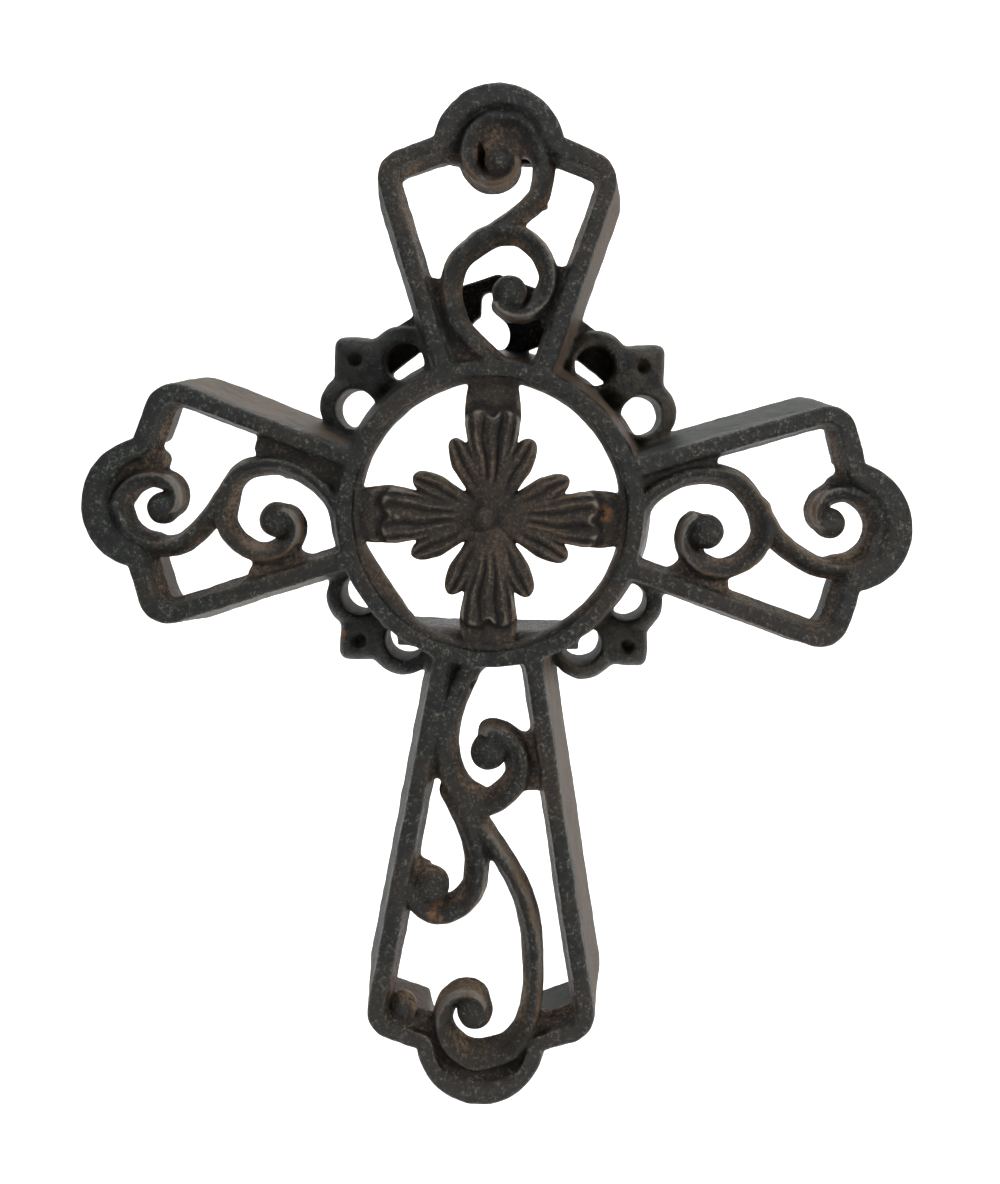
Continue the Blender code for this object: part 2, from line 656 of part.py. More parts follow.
def main():
    for thing in list(bpy.data.objects):
        bpy.data.objects.remove(thing)
    scene = bpy.context.scene.collection
    home = bpy.data.collections.new("wall_cross")
    forms = bpy.data.collections.new("cast_forms")
    cuts = bpy.data.collections.new("cut_forms")
    for collection in (home, forms, cuts):
        scene.children.link(collection)
    cross = make_ring(home)
    cross.name = "wall_cross"
    for key, arm in ARMS.items():
        make_rim(key, arm, forms)
        make_well(key, arm, forms)
    for key, strand in STRANDS.items():
        make_strand(key, strand, forms)
        make_ball(key, strand.arm, strand.ball, forms)
    for index, (arm, outline) in enumerate(WEBS):
        make_web(index, arm, outline, forms)
    make_flower(forms)
    for key, side_x, side_z, size in (
        ("upper_left", -1, 1, UPPER_ORNAMENT),
        ("upper_right", 1, 1, UPPER_ORNAMENT),
        ("lower_left", -1, -1, LOWER_ORNAMENT),
        ("lower_right", 1, -1, LOWER_ORNAMENT),
    ):
        make_ornament(key, side_x, side_z, size, forms, cuts)
    make_plate(forms, cuts)
    make_stiffeners(forms)
    boolean(cross, "UNION", forms)
    tidy_faces(cross)
    for collection in (forms, cuts):
        collection.hide_render = True
        for thing in collection.all_objects:
            thing.hide_render = True
            thing.display_type = "WIRE"
    cross.data.materials.append(iron())


main()
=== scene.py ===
"""Looks of the cast iron wall cross: the casting at full detail, its worn finish, light and camera.

The casting is worked out as a field of distances to the iron on a fine grid, in millimetres from the
centre of the ring: X to the right, Z up, and depth behind the front faces. Its pieces melt into each
other with the fillets that molten iron leaves, and the surface is then drawn where the distance is zero.
An arm has its own axes: u outwards from the ring's centre, and v across, anticlockwise from u.
"""

import math

import bpy
import numpy as np
import openvdb
from mathutils import Euler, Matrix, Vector


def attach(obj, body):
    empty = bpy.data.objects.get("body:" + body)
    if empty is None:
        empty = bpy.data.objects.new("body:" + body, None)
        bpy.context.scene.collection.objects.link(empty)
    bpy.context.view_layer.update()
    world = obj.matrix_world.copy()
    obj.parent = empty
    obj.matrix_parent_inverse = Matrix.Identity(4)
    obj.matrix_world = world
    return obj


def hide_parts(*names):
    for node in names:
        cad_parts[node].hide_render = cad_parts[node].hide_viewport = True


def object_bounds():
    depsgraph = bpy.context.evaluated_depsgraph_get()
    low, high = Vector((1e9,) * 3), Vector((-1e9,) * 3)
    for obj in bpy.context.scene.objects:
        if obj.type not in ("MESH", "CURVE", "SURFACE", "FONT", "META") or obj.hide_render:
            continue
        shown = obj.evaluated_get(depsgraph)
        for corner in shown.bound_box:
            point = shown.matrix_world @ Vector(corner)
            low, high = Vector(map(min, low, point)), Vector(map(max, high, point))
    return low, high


MM = 0.001

# Places and depths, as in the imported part
DEPTH = 24.0
BACK = 0.5
FRONT = BACK - DEPTH
HANG_Z = 57.0

# Grid of the distance field
PITCH = 0.4
GRID_LOW = (-103.5, -141.5, -1.6)
GRID_HIGH = (105.0, 107.0, 25.6)
FAR = 6.0
BAND = 3.0
MOST_TRIANGLES = 192000

# Fillets, roundings and the softness of the whole surface
FILLET = 1.3
RIM_FILLET = 0.9
SCROLL_FILLET = 0.7
PETAL_FILLET = 0.5
BALL_FILLET = 0.8
CARVED_EDGE = 0.4
BLUR_SHARE = 0.6

# Rims
WALL = 3.75
DRAFT = 3.2
RIM_FLANK = 1.7
RIM_FLANK_CURVE = 0.8
FRONT_EDGE = 0.9
BACK_EDGE = 0.8
ARC_STEPS = 14

# Ring
RING_OUTER = 36.0
RING_WALL = 3.75
RING_DRAFT = 5.0
RING_BACK_WALL = 4.6
LEDGE_INNER = 31.2
LEDGE_SET_BACK = 1.8
LEDGE_ROUNDING = 1.4
ARM_ROOT = RING_OUTER * 2 / 3
SPILL_SET_BACK = 2.4
SPILL_ROUNDING = 1.2
RING_SPILL = [(-30.6, -7.4), (-18.0, -25.2), (-24.5, -28.0), (-34.0, -12.5)]

# Scrolls and webs. A scroll's profile goes from its crest, set off the middle, down both flanks.
SCROLL_SET_BACK = 0.6
SCROLL_BACK = 6.6
SCROLL_CREST = 0.42
SCROLL_CREST_DROP = 0.55
SCROLL_FLANK_DROP = 2.9
SCROLL_FLANK_CURVE = 1.3
SCROLL_SLOPE = 0.75
SCROLL_ROUNDING = 0.9
SCROLL_LEAN = 0.3
LEAN_CHANGE = (-5, 3)
SCROLL_GROOVE_PLACE = 0.62
SCROLL_GROOVE_WIDTH = 0.28
SCROLL_GROOVE_DEPTH = 0.45
APRON_DEPTH = 2.6
APRON_SLOPE = (-1.4, 0.8)
APRON_RISE = 0.3
APRON_END = (2.5, 5)
BALL_MIDDLE = 3.8
BALL_SET_BACK = 0.42
WEB_SET_BACK = 2.5
CURL_STEP = 9.0
CURL_TAPER = 0.34
CURL_HASTE = 1.6
TUCK_FROM = 0.4
TUCK_CURVE = 1.5
WELL_OVERLAP = 1.2
WELL_REACH = 4.2
WELL_ROUNDING = 3.0

# Flower
FLOWER_DROP = 1.1
BIG_PETALS = 4
BIG_PETAL_HALF = 6.9
BIG_PETAL_WAIST = 3.4
BIG_RIB_SPACING = 0.62
SMALL_PETAL_TIP = 21.0
SMALL_PETAL_HALF = 3.3
SMALL_PETAL_LEAN = 27.0
SMALL_RIB_SPACING = 0.9
PETAL_ROOT = 2.0
PETAL_SET_BACK = 1.0
PETAL_GROOVE = 1.4
PETAL_SLOPE = 0.8
PETAL_ROUNDING = 0.9
PETAL_WANDER = 0.09
PETAL_WANDER_RATE = 0.5
PETAL_RIBS_FROM = (5.5, 11.0)
PETAL_BORDER = (0.62, 0.82)
PETAL_BORDER_DROP = 0.85
PETAL_BORDER_CREST = (0.76, 0.92)
PETAL_EDGE = (0.9, 1.15)
PETAL_EDGE_DROP = 2.0

# Rolled ends of the big petals: where they start, the notch between the two lobes, and the step
PETAL_ROLL = 25.4
ROLL_NOTCH = 1.9
ROLL_NOTCH_HALF = 0.22
ROLL_SHOULDERS = 2.6
ROLL_STEP = 0.9
ROLL_END = 4.0
ROLL_DROP = 1.4
ROLL_RISE = 0.9

# Boss in the middle of the flower, on a low disc
BOSS_RADIUS = 2.9
BOSS_SHIFT = -1.5
BOSS_DEPTH = 3.2
DISC_RADIUS = 6.4
DISC_STRETCH = 0.5

# Corner ornaments
ORNAMENT_DEPTH = 12.0
ORNAMENT_ROUNDING = 5.0
ORNAMENT_BACK_GAP = 0.25
ORNAMENT_FILLET = 1.6
SCALLOP_FILLET = 1.2
HOLE_ROUNDING = 1.0
SCALLOP_NEAR = 24.3
SCALLOP_FAR = 36.6
SCALLOP_RADIUS = 8.3
SCALLOP_HOLE = 4.9
HOLE_INSET = 1.2
LOBE_TIP = 41.6
LOBE_TIP_RADIUS = 2.6
LOBE_NECK = 31.0
LOBE_ROOT = 22.0
LOBE_CORE = 27.5
DIMPLE_PLACE = 35.6
DIMPLE_RADIUS = 1.8
DIMPLE_DEPTH = 2.6
UPPER_ORNAMENT = 1.0
LOWER_ORNAMENT = 0.93
ORNAMENT_SHIFT_X = 1.0
UPPER_SHIFT_Z = 0.6
RING_BORE = 37.4

# Hanger plate and stiffeners
PLATE_THICKNESS = 3.0
PLATE_APEX = 60.0
PLATE_CREST_HALF = 10.0
PLATE_CREST_DROP = 3.6
PLATE_HALF = 33.0
PLATE_END_TOP = 41.0
PLATE_END_BOTTOM = 28.5
PLATE_ARMPIT_HALF = 15.0
PLATE_ARMPIT = 43.0
KEYHOLE_X = -2.0
KEYHOLE_Z = 44.0
KEYHOLE_RADIUS = 5.25
KEYHOLE_TOP = 55.2
KEYHOLE_SLOT_HALF = 2.2
KEYHOLE_RIM = 4.2
KEYHOLE_RIM_ENDS = (-25, -155)
BAR_TOP = -29.0
BAR_THICKNESS = 4.0
BAR_HALF = 22.0
BAR_FRONT = 6.0
BAR_BACK_GAP = 0.35
BAR_ROUNDING = 1.8
HUMP_PLATE_THICKNESS = 3.0
HUMP_PLATE_START = 88.0
HUMP_PLATE_BACK_GAP = 0.4
KNOB = (118.0, -18.6)
KNOB_DEPTH = 4.2
KNOB_RADIUS = 3.3

# Slow waves and fine grain of the sand casting: wavelength and height in metres, and how many
WAVES = [(0.024, 0.00008, 10), (0.008, 0.00004, 14), (0.0032, 0.00003, 18)]
WAVE_SEED = 11

# Marks on the surface: how far from it the field counts, and the grid points that each blur reaches
MARK_NEAR = 2.5
EDGE_REACH = 1
HOLLOW_REACH = 4

# Camera, at the angle and place that the photograph was taken from
CAMERA_PLACE = (0.0085, -0.2395, -0.0383)
CAMERA_ROLL = -1.3
CAMERA_LENS = 28.05
CAMERA_SENSOR = 36.0
CAMERA_SHIFT = (-0.0236, -0.1326)


class Arm:
    """The front outline of one arm, in its own axes, and the angle that its axis u makes with X."""

    def __init__(self, turn, root_half, corner, corner_radius, shoulder_slope, tip, hump_radius, well):
        self.turn = math.radians(turn)
        self.root_half = root_half
        self.corner = np.array((corner[0], corner[1] - corner_radius))
        self.corner_radius = corner_radius
        self.shoulder_slope = math.radians(shoulder_slope)
        self.hump = np.array((tip - hump_radius, 0.0))
        self.hump_radius = hump_radius
        self.well = np.array((well[0], 0.0))
        self.well_radius = well[1]
        self.well_spread = math.radians(well[2])

    def place(self, u, v):
        """The point (x, z)."""
        return (
            u * math.cos(self.turn) - v * math.sin(self.turn),
            u * math.sin(self.turn) + v * math.cos(self.turn),
        )

    def axes(self, x, z):
        """u and v of the points (x, z)."""
        return (
            x * math.cos(self.turn) + z * math.sin(self.turn),
            z * math.cos(self.turn) - x * math.sin(self.turn),
        )

    def outline(self, grow, end_radius, inside=False):
        """Points (x, z) round the arm at a distance grow outside its front outline.

        Both ends lie where the sides meet a circle of end_radius about the centre of the ring. With
        inside set, the end of the arm follows the round well in the hump instead of the hump itself.
        """
        hump = self.well if inside else self.hump
        hump_radius = self.well_radius + grow + WALL if inside else self.hump_radius + grow
        radius = self.corner_radius + grow
        to_centre = self.corner - (RING_OUTER, self.root_half)
        reach = math.hypot(*to_centre)
        lean = math.atan2(to_centre[1], to_centre[0]) + math.asin(self.corner_radius / reach)
        side = np.array((math.cos(lean), math.sin(lean)))
        start = self.corner + radius * np.array((-side[1], side[0]))
        along = side @ start
        start = start - side * (along - math.sqrt(end_radius**2 - start @ start + along**2))
        half = [start]
        first = math.pi / 2 + lean
        for angle in np.linspace(first, self.shoulder_slope, ARC_STEPS):
            half.append(self.corner + radius * np.array((math.cos(angle), math.sin(angle))))
        inwards = np.array((math.sin(self.shoulder_slope), -math.cos(self.shoulder_slope)))
        from_hump = half[-1] - hump
        along = inwards @ from_hump
        reach = -along - math.sqrt(hump_radius**2 - from_hump @ from_hump + along**2)
        junction = half[-1] + inwards * reach
        spread = math.atan2(junction[1], junction[0] - hump[0])
        for angle in np.linspace(spread, 0, ARC_STEPS):
            half.append(hump + hump_radius * np.array((math.cos(angle), math.sin(angle))))
        points = half + [point * (1, -1) for point in reversed(half[:-1])]
        return [self.place(u, v) for u, v in points]


ARMS = {
    "top": Arm(90.0, 14.6, (78.6, 28.2), 7.0, 22, 101.3, 15.4, (85.3, 11.3, 104)),
    "left": Arm(179.5, 14.8, (75.0, 28.2), 7.0, 18, 96.2, 15.4, (79.5, 11.3, 104)),
    "bottom": Arm(270.25, 13.0, (117.2, 26.6), 6.5, 18, 138.7, 14.9, (117.2, 16.4, 80)),
    "right": Arm(-0.9, 14.8, (78.6, 28.3), 7.0, 15, 99.5, 15.2, (82.5, 11.0, 104)),
}


class Strand:
    """One scroll: points (u, v) along its middle, then a curl that tightens round a ball (u, v, radius).

    The curl starts at the angle enter from the ball, at the given radius, and turns by sweep. The crest
    leans away from the lead side, then from the ball. The width shrinks by the taper over the curl, the
    apron widens the curl towards the ball, low down, and the tuck draws the curl's end into the ball.
    """

    def __init__(self, arm, points, ball, enter, radius, sweep, width=5.4, lead_side=-1,
                 taper=CURL_TAPER, apron=3.0, apron_from=0.22, tuck=0.0):
        self.arm = ARMS[arm]
        self.points = points
        self.ball = ball
        self.enter = math.radians(enter)
        self.radius = radius
        self.sweep = math.radians(sweep)
        self.curl_steps = round(abs(math.degrees(self.sweep)) / CURL_STEP)
        self.width = width
        self.lead_side = lead_side
        self.curl_side = math.copysign(1, sweep)
        self.taper = taper
        self.apron = apron
        self.apron_from = apron_from
        self.tuck = tuck

    def middle(self):
        """Points (u, v, width) of the whole scroll, close enough together to be round."""
        lead = [(u, v, self.width) for u, v in self.points]
        curl = []
        u, v, last_radius = self.ball
        for step in range(self.curl_steps + 1):
            share = step / self.curl_steps
            angle = self.enter + self.sweep * share
            late = max(0, (share - TUCK_FROM) / (1 - TUCK_FROM))
            tucked = last_radius * (1 - self.tuck * late**TUCK_CURVE)
            radius = tucked + (self.radius - tucked) * (1 - share) ** CURL_HASTE
            width = self.width * (1 - self.taper * share)
            curl.append((u + radius * math.cos(angle), v + radius * math.sin(angle), width))
        return smooth_path(lead + curl[:1], 6) + curl[1:]


STRANDS = {
    "top_main": Strand(
        "top",
        [(35.4, -0.9), (43.4, 7.8), (48.6, 9.9), (53.9, 10.7), (60.5, 8.6), (66.8, 0.3),
         (73.7, -8.1), (78.3, -10.4), (86.9, -10.4), (93.5, -5.4)],
        ball=(83.5, -0.3, 3.6), enter=4, radius=10.6, sweep=268, apron=2.4, apron_from=-0.1,
    ),
    "top_branch": Strand(
        "top", [(64.5, 4.5), (66.4, 0.7)],
        ball=(52.5, -3.4, 4.2), enter=-6, radius=14.2, sweep=-215,
    ),
    "left_main": Strand(
        "left",
        [(34.0, 9.6), (35.4, 4.4), (37.0, -0.9), (40.6, -5.0), (45.4, -8.2), (50.7, -9.8),
         (55.9, -9.3), (60.2, -7.1), (65.2, 1.0), (70.9, 7.9), (75.2, 10.2), (80.7, 10.3), (85.8, 7.6)],
        ball=(77.8, 1.2, 3.9), enter=0, radius=10.8, sweep=-215, width=5.2, lead_side=1, tuck=0.75,
    ),
    "left_branch": Strand(
        "left", [(62.6, -2.6)],
        ball=(50.8, 3.2, 4.4), enter=0, radius=12.6, sweep=220, lead_side=1, taper=0.2, tuck=0.4,
    ),
    "right_main": Strand(
        "right",
        [(34.2, -5.7), (35.0, -0.4), (37.2, 4.6), (41.3, 8.0), (46.1, 10.4), (50.8, 11.3), (56.4, 10.6),
         (60.0, 8.4), (63.3, 4.4), (68.9, -4.0), (76.7, -9.2), (82.3, -10.4), (86.8, -9.7), (90.5, -6.7)],
        ball=(80.7, 0.6, 3.8), enter=0, radius=11.7, sweep=215, width=5.2, tuck=0.65,
    ),
    "right_branch": Strand(
        "right", [(64.3, 3.5)],
        ball=(51.4, -2.5, 4.3), enter=0, radius=14.0, sweep=-225,
    ),
    "bottom_upper": Strand(
        "bottom",
        [(34.6, -3.0), (42.6, -7.0), (47.9, -8.8), (52.7, -9.7), (57.5, -9.6), (62.2, -8.3), (66.5, -5.4)],
        ball=(56.8, 0.6, 4.3), enter=-2, radius=12.8, sweep=175, width=6.2, lead_side=1, taper=0.0,
    ),
    "bottom_left": Strand(
        "bottom", [(66.6, -8.0), (71.7, -5.3), (75.5, -3.6), (79.5, -2.3), (83.1, -1.7)],
        ball=(88.6, -12.4, 4.3), enter=88, radius=10.3, sweep=-170, width=6.2, taper=0.1,
    ),
    "bottom_right": Strand(
        "bottom",
        [(69.0, -5.0), (75.4, -0.5), (83.5, 5.1), (88.0, 7.7), (93.7, 10.1), (99.6, 11.5), (106.8, 12.1),
         (113.9, 12.2), (119.5, 11.4), (124.5, 9.3), (127.9, 5.8)],
        ball=(118.3, -1.6, 4.4), enter=4, radius=11.4, sweep=-230, width=5.2, tuck=0.4,
    ),
}

# Webs that close the narrow gaps between a scroll and the rim beside it
WEBS = [
    ("top", [(85.6, -8.6), (92.0, -6.6), (93.4, 0.0), (88.6, 4.6), (84.2, 2.4), (84.6, -3.2)]),
    ("top", [(33.2, 14.0), (55.3, 18.6), (55.7, 14.8), (54.8, 11.4), (45.7, 8.8), (36.4, 1.0)]),
    ("top", [(59.6, -12.0), (59.0, -15.9), (59.4, -20.0), (45.8, -16.9), (45.0, -11.2), (50.9, -10.0)]),
    ("left", [(55.1, -18.7), (56.6, -13.6), (55.4, -9.4), (45.7, -7.6), (38.4, -1.6), (34.4, 7.6),
              (33.4, -9.1)]),
    ("left", [(55.6, 12.0), (57.0, 15.6), (57.6, 20.3), (42.4, 15.3), (43.0, 12.0), (45.7, 10.2)]),
    ("right", [(54.5, 19.4), (53.6, 15.0), (53.8, 11.4), (44.9, 10.0), (38.3, 5.5), (35.0, -2.8),
               (33.8, 11.5)]),
    ("right", [(57.1, -11.6), (57.3, -15.5), (58.6, -19.4), (42.4, -14.0), (43.7, -11.2), (46.0, -9.2)]),
    ("bottom", [(34.1, -11.8), (61.6, -17.9), (63.6, -13.2), (62.8, -9.4), (49.6, -10.2), (35.2, -6.6)]),
    ("bottom", [(52.9, 6.4), (52.4, 10.4), (52.0, 15.4), (66.0, 17.0), (65.6, 12.4), (66.1, 7.7)]),
    ("bottom", [(82.4, -20.4), (83.4, -15.7), (84.2, -12.8), (93.8, -14.1), (94.0, -17.9), (94.8, -22.7)]),
]


def smooth_path(points, parts):
    """A curve through the points (u, v, width), each stretch cut into equal parts."""
    path = []
    for i in range(len(points) - 1):
        before = np.array(points[max(i - 1, 0)])
        start = np.array(points[i])
        end = np.array(points[i + 1])
        after = np.array(points[min(i + 2, len(points) - 1)])
        for part in range(parts):
            t = part / parts
            bend = (end - before) * t + (2 * before - 5 * start + 4 * end - after) * t**2
            bend += (3 * start - before - 3 * end + after) * t**3
            path.append(tuple(start + bend / 2))
    return path + [points[-1]]


def soft_min(one, two, blend):
    """The lower of two fields, melted together over a distance of blend."""
    gap = np.maximum(blend - np.abs(one - two), 0)
    return np.minimum(one, two) - gap * gap / (4 * blend)


def soft_max(one, two, blend):
    return -soft_min(-one, -two, blend)


def smooth_step(value, low, high):
    """0 at low, 1 at high, smooth between them. Low may be the greater."""
    share = np.clip((value - low) / (high - low), 0, 1)
    return share * share * (3 - 2 * share)


def path_distance(x, z, points, closed=False):
    """Distance to a path of points (x, z), the place along it counted in points, and the side."""
    best = np.full(x.shape, 1e9, np.float32)
    place = np.zeros_like(best)
    side = np.zeros_like(best)
    ends = points[1:] + points[:1] if closed else points[1:]
    for i, (start, end) in enumerate(zip(points, ends)):
        run_x = end[0] - start[0]
        run_z = end[1] - start[1]
        from_x = x - start[0]
        from_z = z - start[1]
        share = np.clip((from_x * run_x + from_z * run_z) / (run_x**2 + run_z**2), 0, 1)
        gap = (from_x - share * run_x) ** 2 + (from_z - share * run_z) ** 2
        nearer = gap < best
        best = np.where(nearer, gap, best)
        place = np.where(nearer, i + share, place)
        side = np.where(nearer, np.sign(run_x * from_z - run_z * from_x), side)
    return np.sqrt(best), place, side


def outline_distance(x, z, points):
    """Distance to a closed outline, below zero inside it."""
    distance = path_distance(x, z, points, True)[0]
    inside = np.zeros(x.shape, bool)
    for start, end in zip(points, points[1:] + points[:1]):
        if start[1] == end[1]:
            continue
        crossing = start[0] + (z - start[1]) * (end[0] - start[0]) / (end[1] - start[1])
        inside ^= ((start[1] > z) != (end[1] > z)) & (x < crossing)
    return np.where(inside, -distance, distance)


class Casting:
    """The grid of distances to the iron, below zero inside it."""

    def __init__(self, pitch):
        self.pitch = pitch
        self.x, self.z, depth = (
            np.arange(low, high, pitch, dtype=np.float32) for low, high in zip(GRID_LOW, GRID_HIGH)
        )
        self.depth = depth[None, None, :]
        self.iron = np.full((len(self.x), len(self.z), len(depth)), FAR, np.float32)

    def patch(self, points, margin):
        """The part of the grid round some points (x, z), with the x and z of its columns."""
        low_x, low_z = np.min(points, axis=0) - margin
        high_x, high_z = np.max(points, axis=0) + margin
        across = slice(*np.searchsorted(self.x, (low_x, high_x)))
        up = slice(*np.searchsorted(self.z, (low_z, high_z)))
        x, z = np.meshgrid(self.x[across], self.z[up], indexing="ij")
        return (across, up), x, z

    def add(self, patch, distance, blend=FILLET):
        self.iron[patch] = soft_min(self.iron[patch], distance.astype(np.float32), blend)

    def carve(self, patch, distance):
        self.iron[patch] = soft_max(self.iron[patch], -distance.astype(np.float32), CARVED_EDGE)

    def slab(self, outline, front, back, rounding=0.6):
        """Adds a flat shape between two depths, its front edges rounded."""
        patch, x, z = self.patch(outline, FAR)
        flat = outline_distance(x, z, outline)[:, :, None]
        body = soft_max(flat, front - self.depth, rounding)
        self.add(patch, np.maximum(body, self.depth - back))

    def ball(self, x, z, depth, radius, stretch=1.0, carve=False):
        """Adds a ball, or carves one out. The stretch is along the depth."""
        patch, grid_x, grid_z = self.patch([(x, z)], radius + FAR)
        flat = ((grid_x - x) ** 2 + (grid_z - z) ** 2)[:, :, None]
        distance = np.sqrt(flat + ((self.depth - depth) / stretch) ** 2) - radius
        if carve:
            self.carve(patch, distance)
        else:
            self.add(patch, distance, BALL_FILLET)


def add_rim(casting, arm):
    """The deep wall round one arm, its front face with worn edges and a flank sloping to the window."""
    outline = arm.outline(0, ARM_ROOT)
    window = arm.outline(0, ARM_ROOT, True)
    patch, x, z = casting.patch(outline, DRAFT + FAR)
    outer = outline_distance(x, z, outline)[:, :, None]
    inner = outline_distance(x, z, window)[:, :, None]
    radius = np.hypot(x, z)[:, :, None]
    depth = casting.depth
    lean = DRAFT * depth / DEPTH
    body = soft_max(outer - lean, -depth, FRONT_EDGE)
    flank = RIM_FLANK * np.clip(depth / SCROLL_BACK, 0, 1) ** RIM_FLANK_CURVE
    face = np.maximum(soft_max(-inner - WALL - flank, -depth, FRONT_EDGE), depth - SCROLL_BACK)
    wall = -outer - WALL + lean
    body = np.maximum(body, soft_min(face, wall, 0.5))
    body = soft_max(body, depth - DEPTH, BACK_EDGE)
    body = np.maximum(body, RING_OUTER - RING_WALL / 2 - radius)
    casting.add(patch, body, RIM_FILLET)


def add_ring(casting):
    """The band, the ledge that carries the flower, the wall behind, and the spill at the lower left."""
    reach = RING_OUTER + RING_DRAFT
    patch, x, z = casting.patch([(-reach, -reach), (reach, reach)], FAR)
    radius = np.hypot(x, z)[:, :, None]
    depth = casting.depth
    lean = RING_DRAFT * depth / DEPTH
    outer = soft_max(radius - RING_OUTER - lean, -depth, FRONT_EDGE)
    inner_front = RING_OUTER - RING_WALL
    inner_back = RING_OUTER + RING_DRAFT - RING_BACK_WALL
    inner = inner_front + (inner_back - inner_front) * depth / DEPTH - radius
    body = soft_max(outer, soft_max(inner, -depth, FRONT_EDGE), 0.2)
    body = soft_max(body, depth - DEPTH, BACK_EDGE)
    casting.add(patch, body, RIM_FILLET)
    ledge = soft_max(LEDGE_INNER - radius, LEDGE_SET_BACK - depth, LEDGE_ROUNDING)
    ledge = np.maximum(np.maximum(ledge, radius - RING_OUTER + 1), depth - SCROLL_BACK)
    casting.add(patch, ledge, RIM_FILLET)
    casting.slab(RING_SPILL, SPILL_SET_BACK, SCROLL_BACK, SPILL_ROUNDING)


def add_scroll(casting, strand):
    """A round-backed scroll with a fine groove along its crest, and the ball that it curls round."""
    middle = strand.middle()
    path = [strand.arm.place(u, v) for u, v, width in middle]
    halves = np.array([width / 2 for u, v, width in middle], np.float32)
    patch, x, z = casting.patch(path, FAR)
    across, place, side = (field[:, :, None] for field in path_distance(x, z, path))
    half = np.interp(place, np.arange(len(halves)), halves).astype(np.float32)
    curl_start = len(path) - strand.curl_steps
    curling = smooth_step(place, curl_start + LEAN_CHANGE[0], curl_start + LEAN_CHANGE[1])
    lean = strand.lead_side + (strand.curl_side - strand.lead_side) * curling
    share = across * side / half
    crest = -SCROLL_LEAN * lean
    off_crest = np.where(share > crest, (share - crest) / (1 - crest), (crest - share) / (1 + crest))
    surface = SCROLL_SET_BACK + SCROLL_CREST_DROP * np.minimum(off_crest / SCROLL_CREST, 1) ** 2
    down_flank = np.clip((off_crest - SCROLL_CREST) / (1 - SCROLL_CREST), 0, 1.5)
    surface += SCROLL_FLANK_DROP * down_flank**SCROLL_FLANK_CURVE
    groove_gap = (off_crest - SCROLL_GROOVE_PLACE) * half / SCROLL_GROOVE_WIDTH
    on_flank = (1 + lean * np.sign(share - crest)) / 2
    surface += SCROLL_GROOVE_DEPTH * np.exp(-(groove_gap**2)) * on_flank
    apron_start = curl_start + strand.apron_from * strand.curl_steps
    apron_full = apron_start + APRON_RISE * strand.curl_steps
    apron = strand.apron * smooth_step(place, apron_start, apron_full) * (side == strand.curl_side)
    apron = apron * smooth_step(place, len(path) - APRON_END[0], len(path) - APRON_END[1])
    apron = apron * smooth_step(casting.depth, APRON_DEPTH + APRON_SLOPE[0], APRON_DEPTH + APRON_SLOPE[1])
    body = soft_max(across - half - apron, SCROLL_SLOPE * (surface - casting.depth), SCROLL_ROUNDING)
    casting.add(patch, np.maximum(body, casting.depth - SCROLL_BACK), SCROLL_FILLET)
    u, v, radius = strand.ball
    x, z = strand.arm.place(u, v)
    casting.ball(x, z, BALL_MIDDLE, radius, (BALL_MIDDLE - BALL_SET_BACK) / radius)


def add_well(casting, arm):
    """The sunk crescent between the curl in a hump and the rim."""
    middle = arm.well_radius + (WELL_OVERLAP - WELL_REACH) / 2
    half = (WELL_OVERLAP + WELL_REACH) / 2
    x, z = arm.place(*arm.well)
    patch, grid_x, grid_z = casting.patch([(x, z)], arm.well_radius + FAR)
    u, v = arm.axes(grid_x, grid_z)
    radius = np.hypot(u - arm.well[0], v)
    turn = np.abs(np.arctan2(v, u - arm.well[0]))
    past_ends = (turn - arm.well_spread) * middle
    flat = soft_max(np.abs(radius - middle) - half, past_ends, WELL_ROUNDING)[:, :, None]
    body = soft_max(flat, WEB_SET_BACK - casting.depth, 0.8)
    casting.add(patch, np.maximum(body, casting.depth - SCROLL_BACK))


def petal_halves(stations, tip_round):
    """Distances along a petal, its half widths there, and how fast they change."""
    along = np.linspace(stations[0][0], stations[-1][0], 120)
    half = np.interp(along, [station[0] for station in stations], [station[1] for station in stations])
    kernel = np.hanning(15)
    padded = np.pad(half, 7, "edge")
    half = np.convolve(padded, kernel / kernel.sum(), "valid")
    if tip_round:
        end = np.clip((along[-1] - along) / tip_round, 0, 1)
        half = half * np.sqrt(1 - (1 - end) ** 2)
    return along, half, np.gradient(half, along)


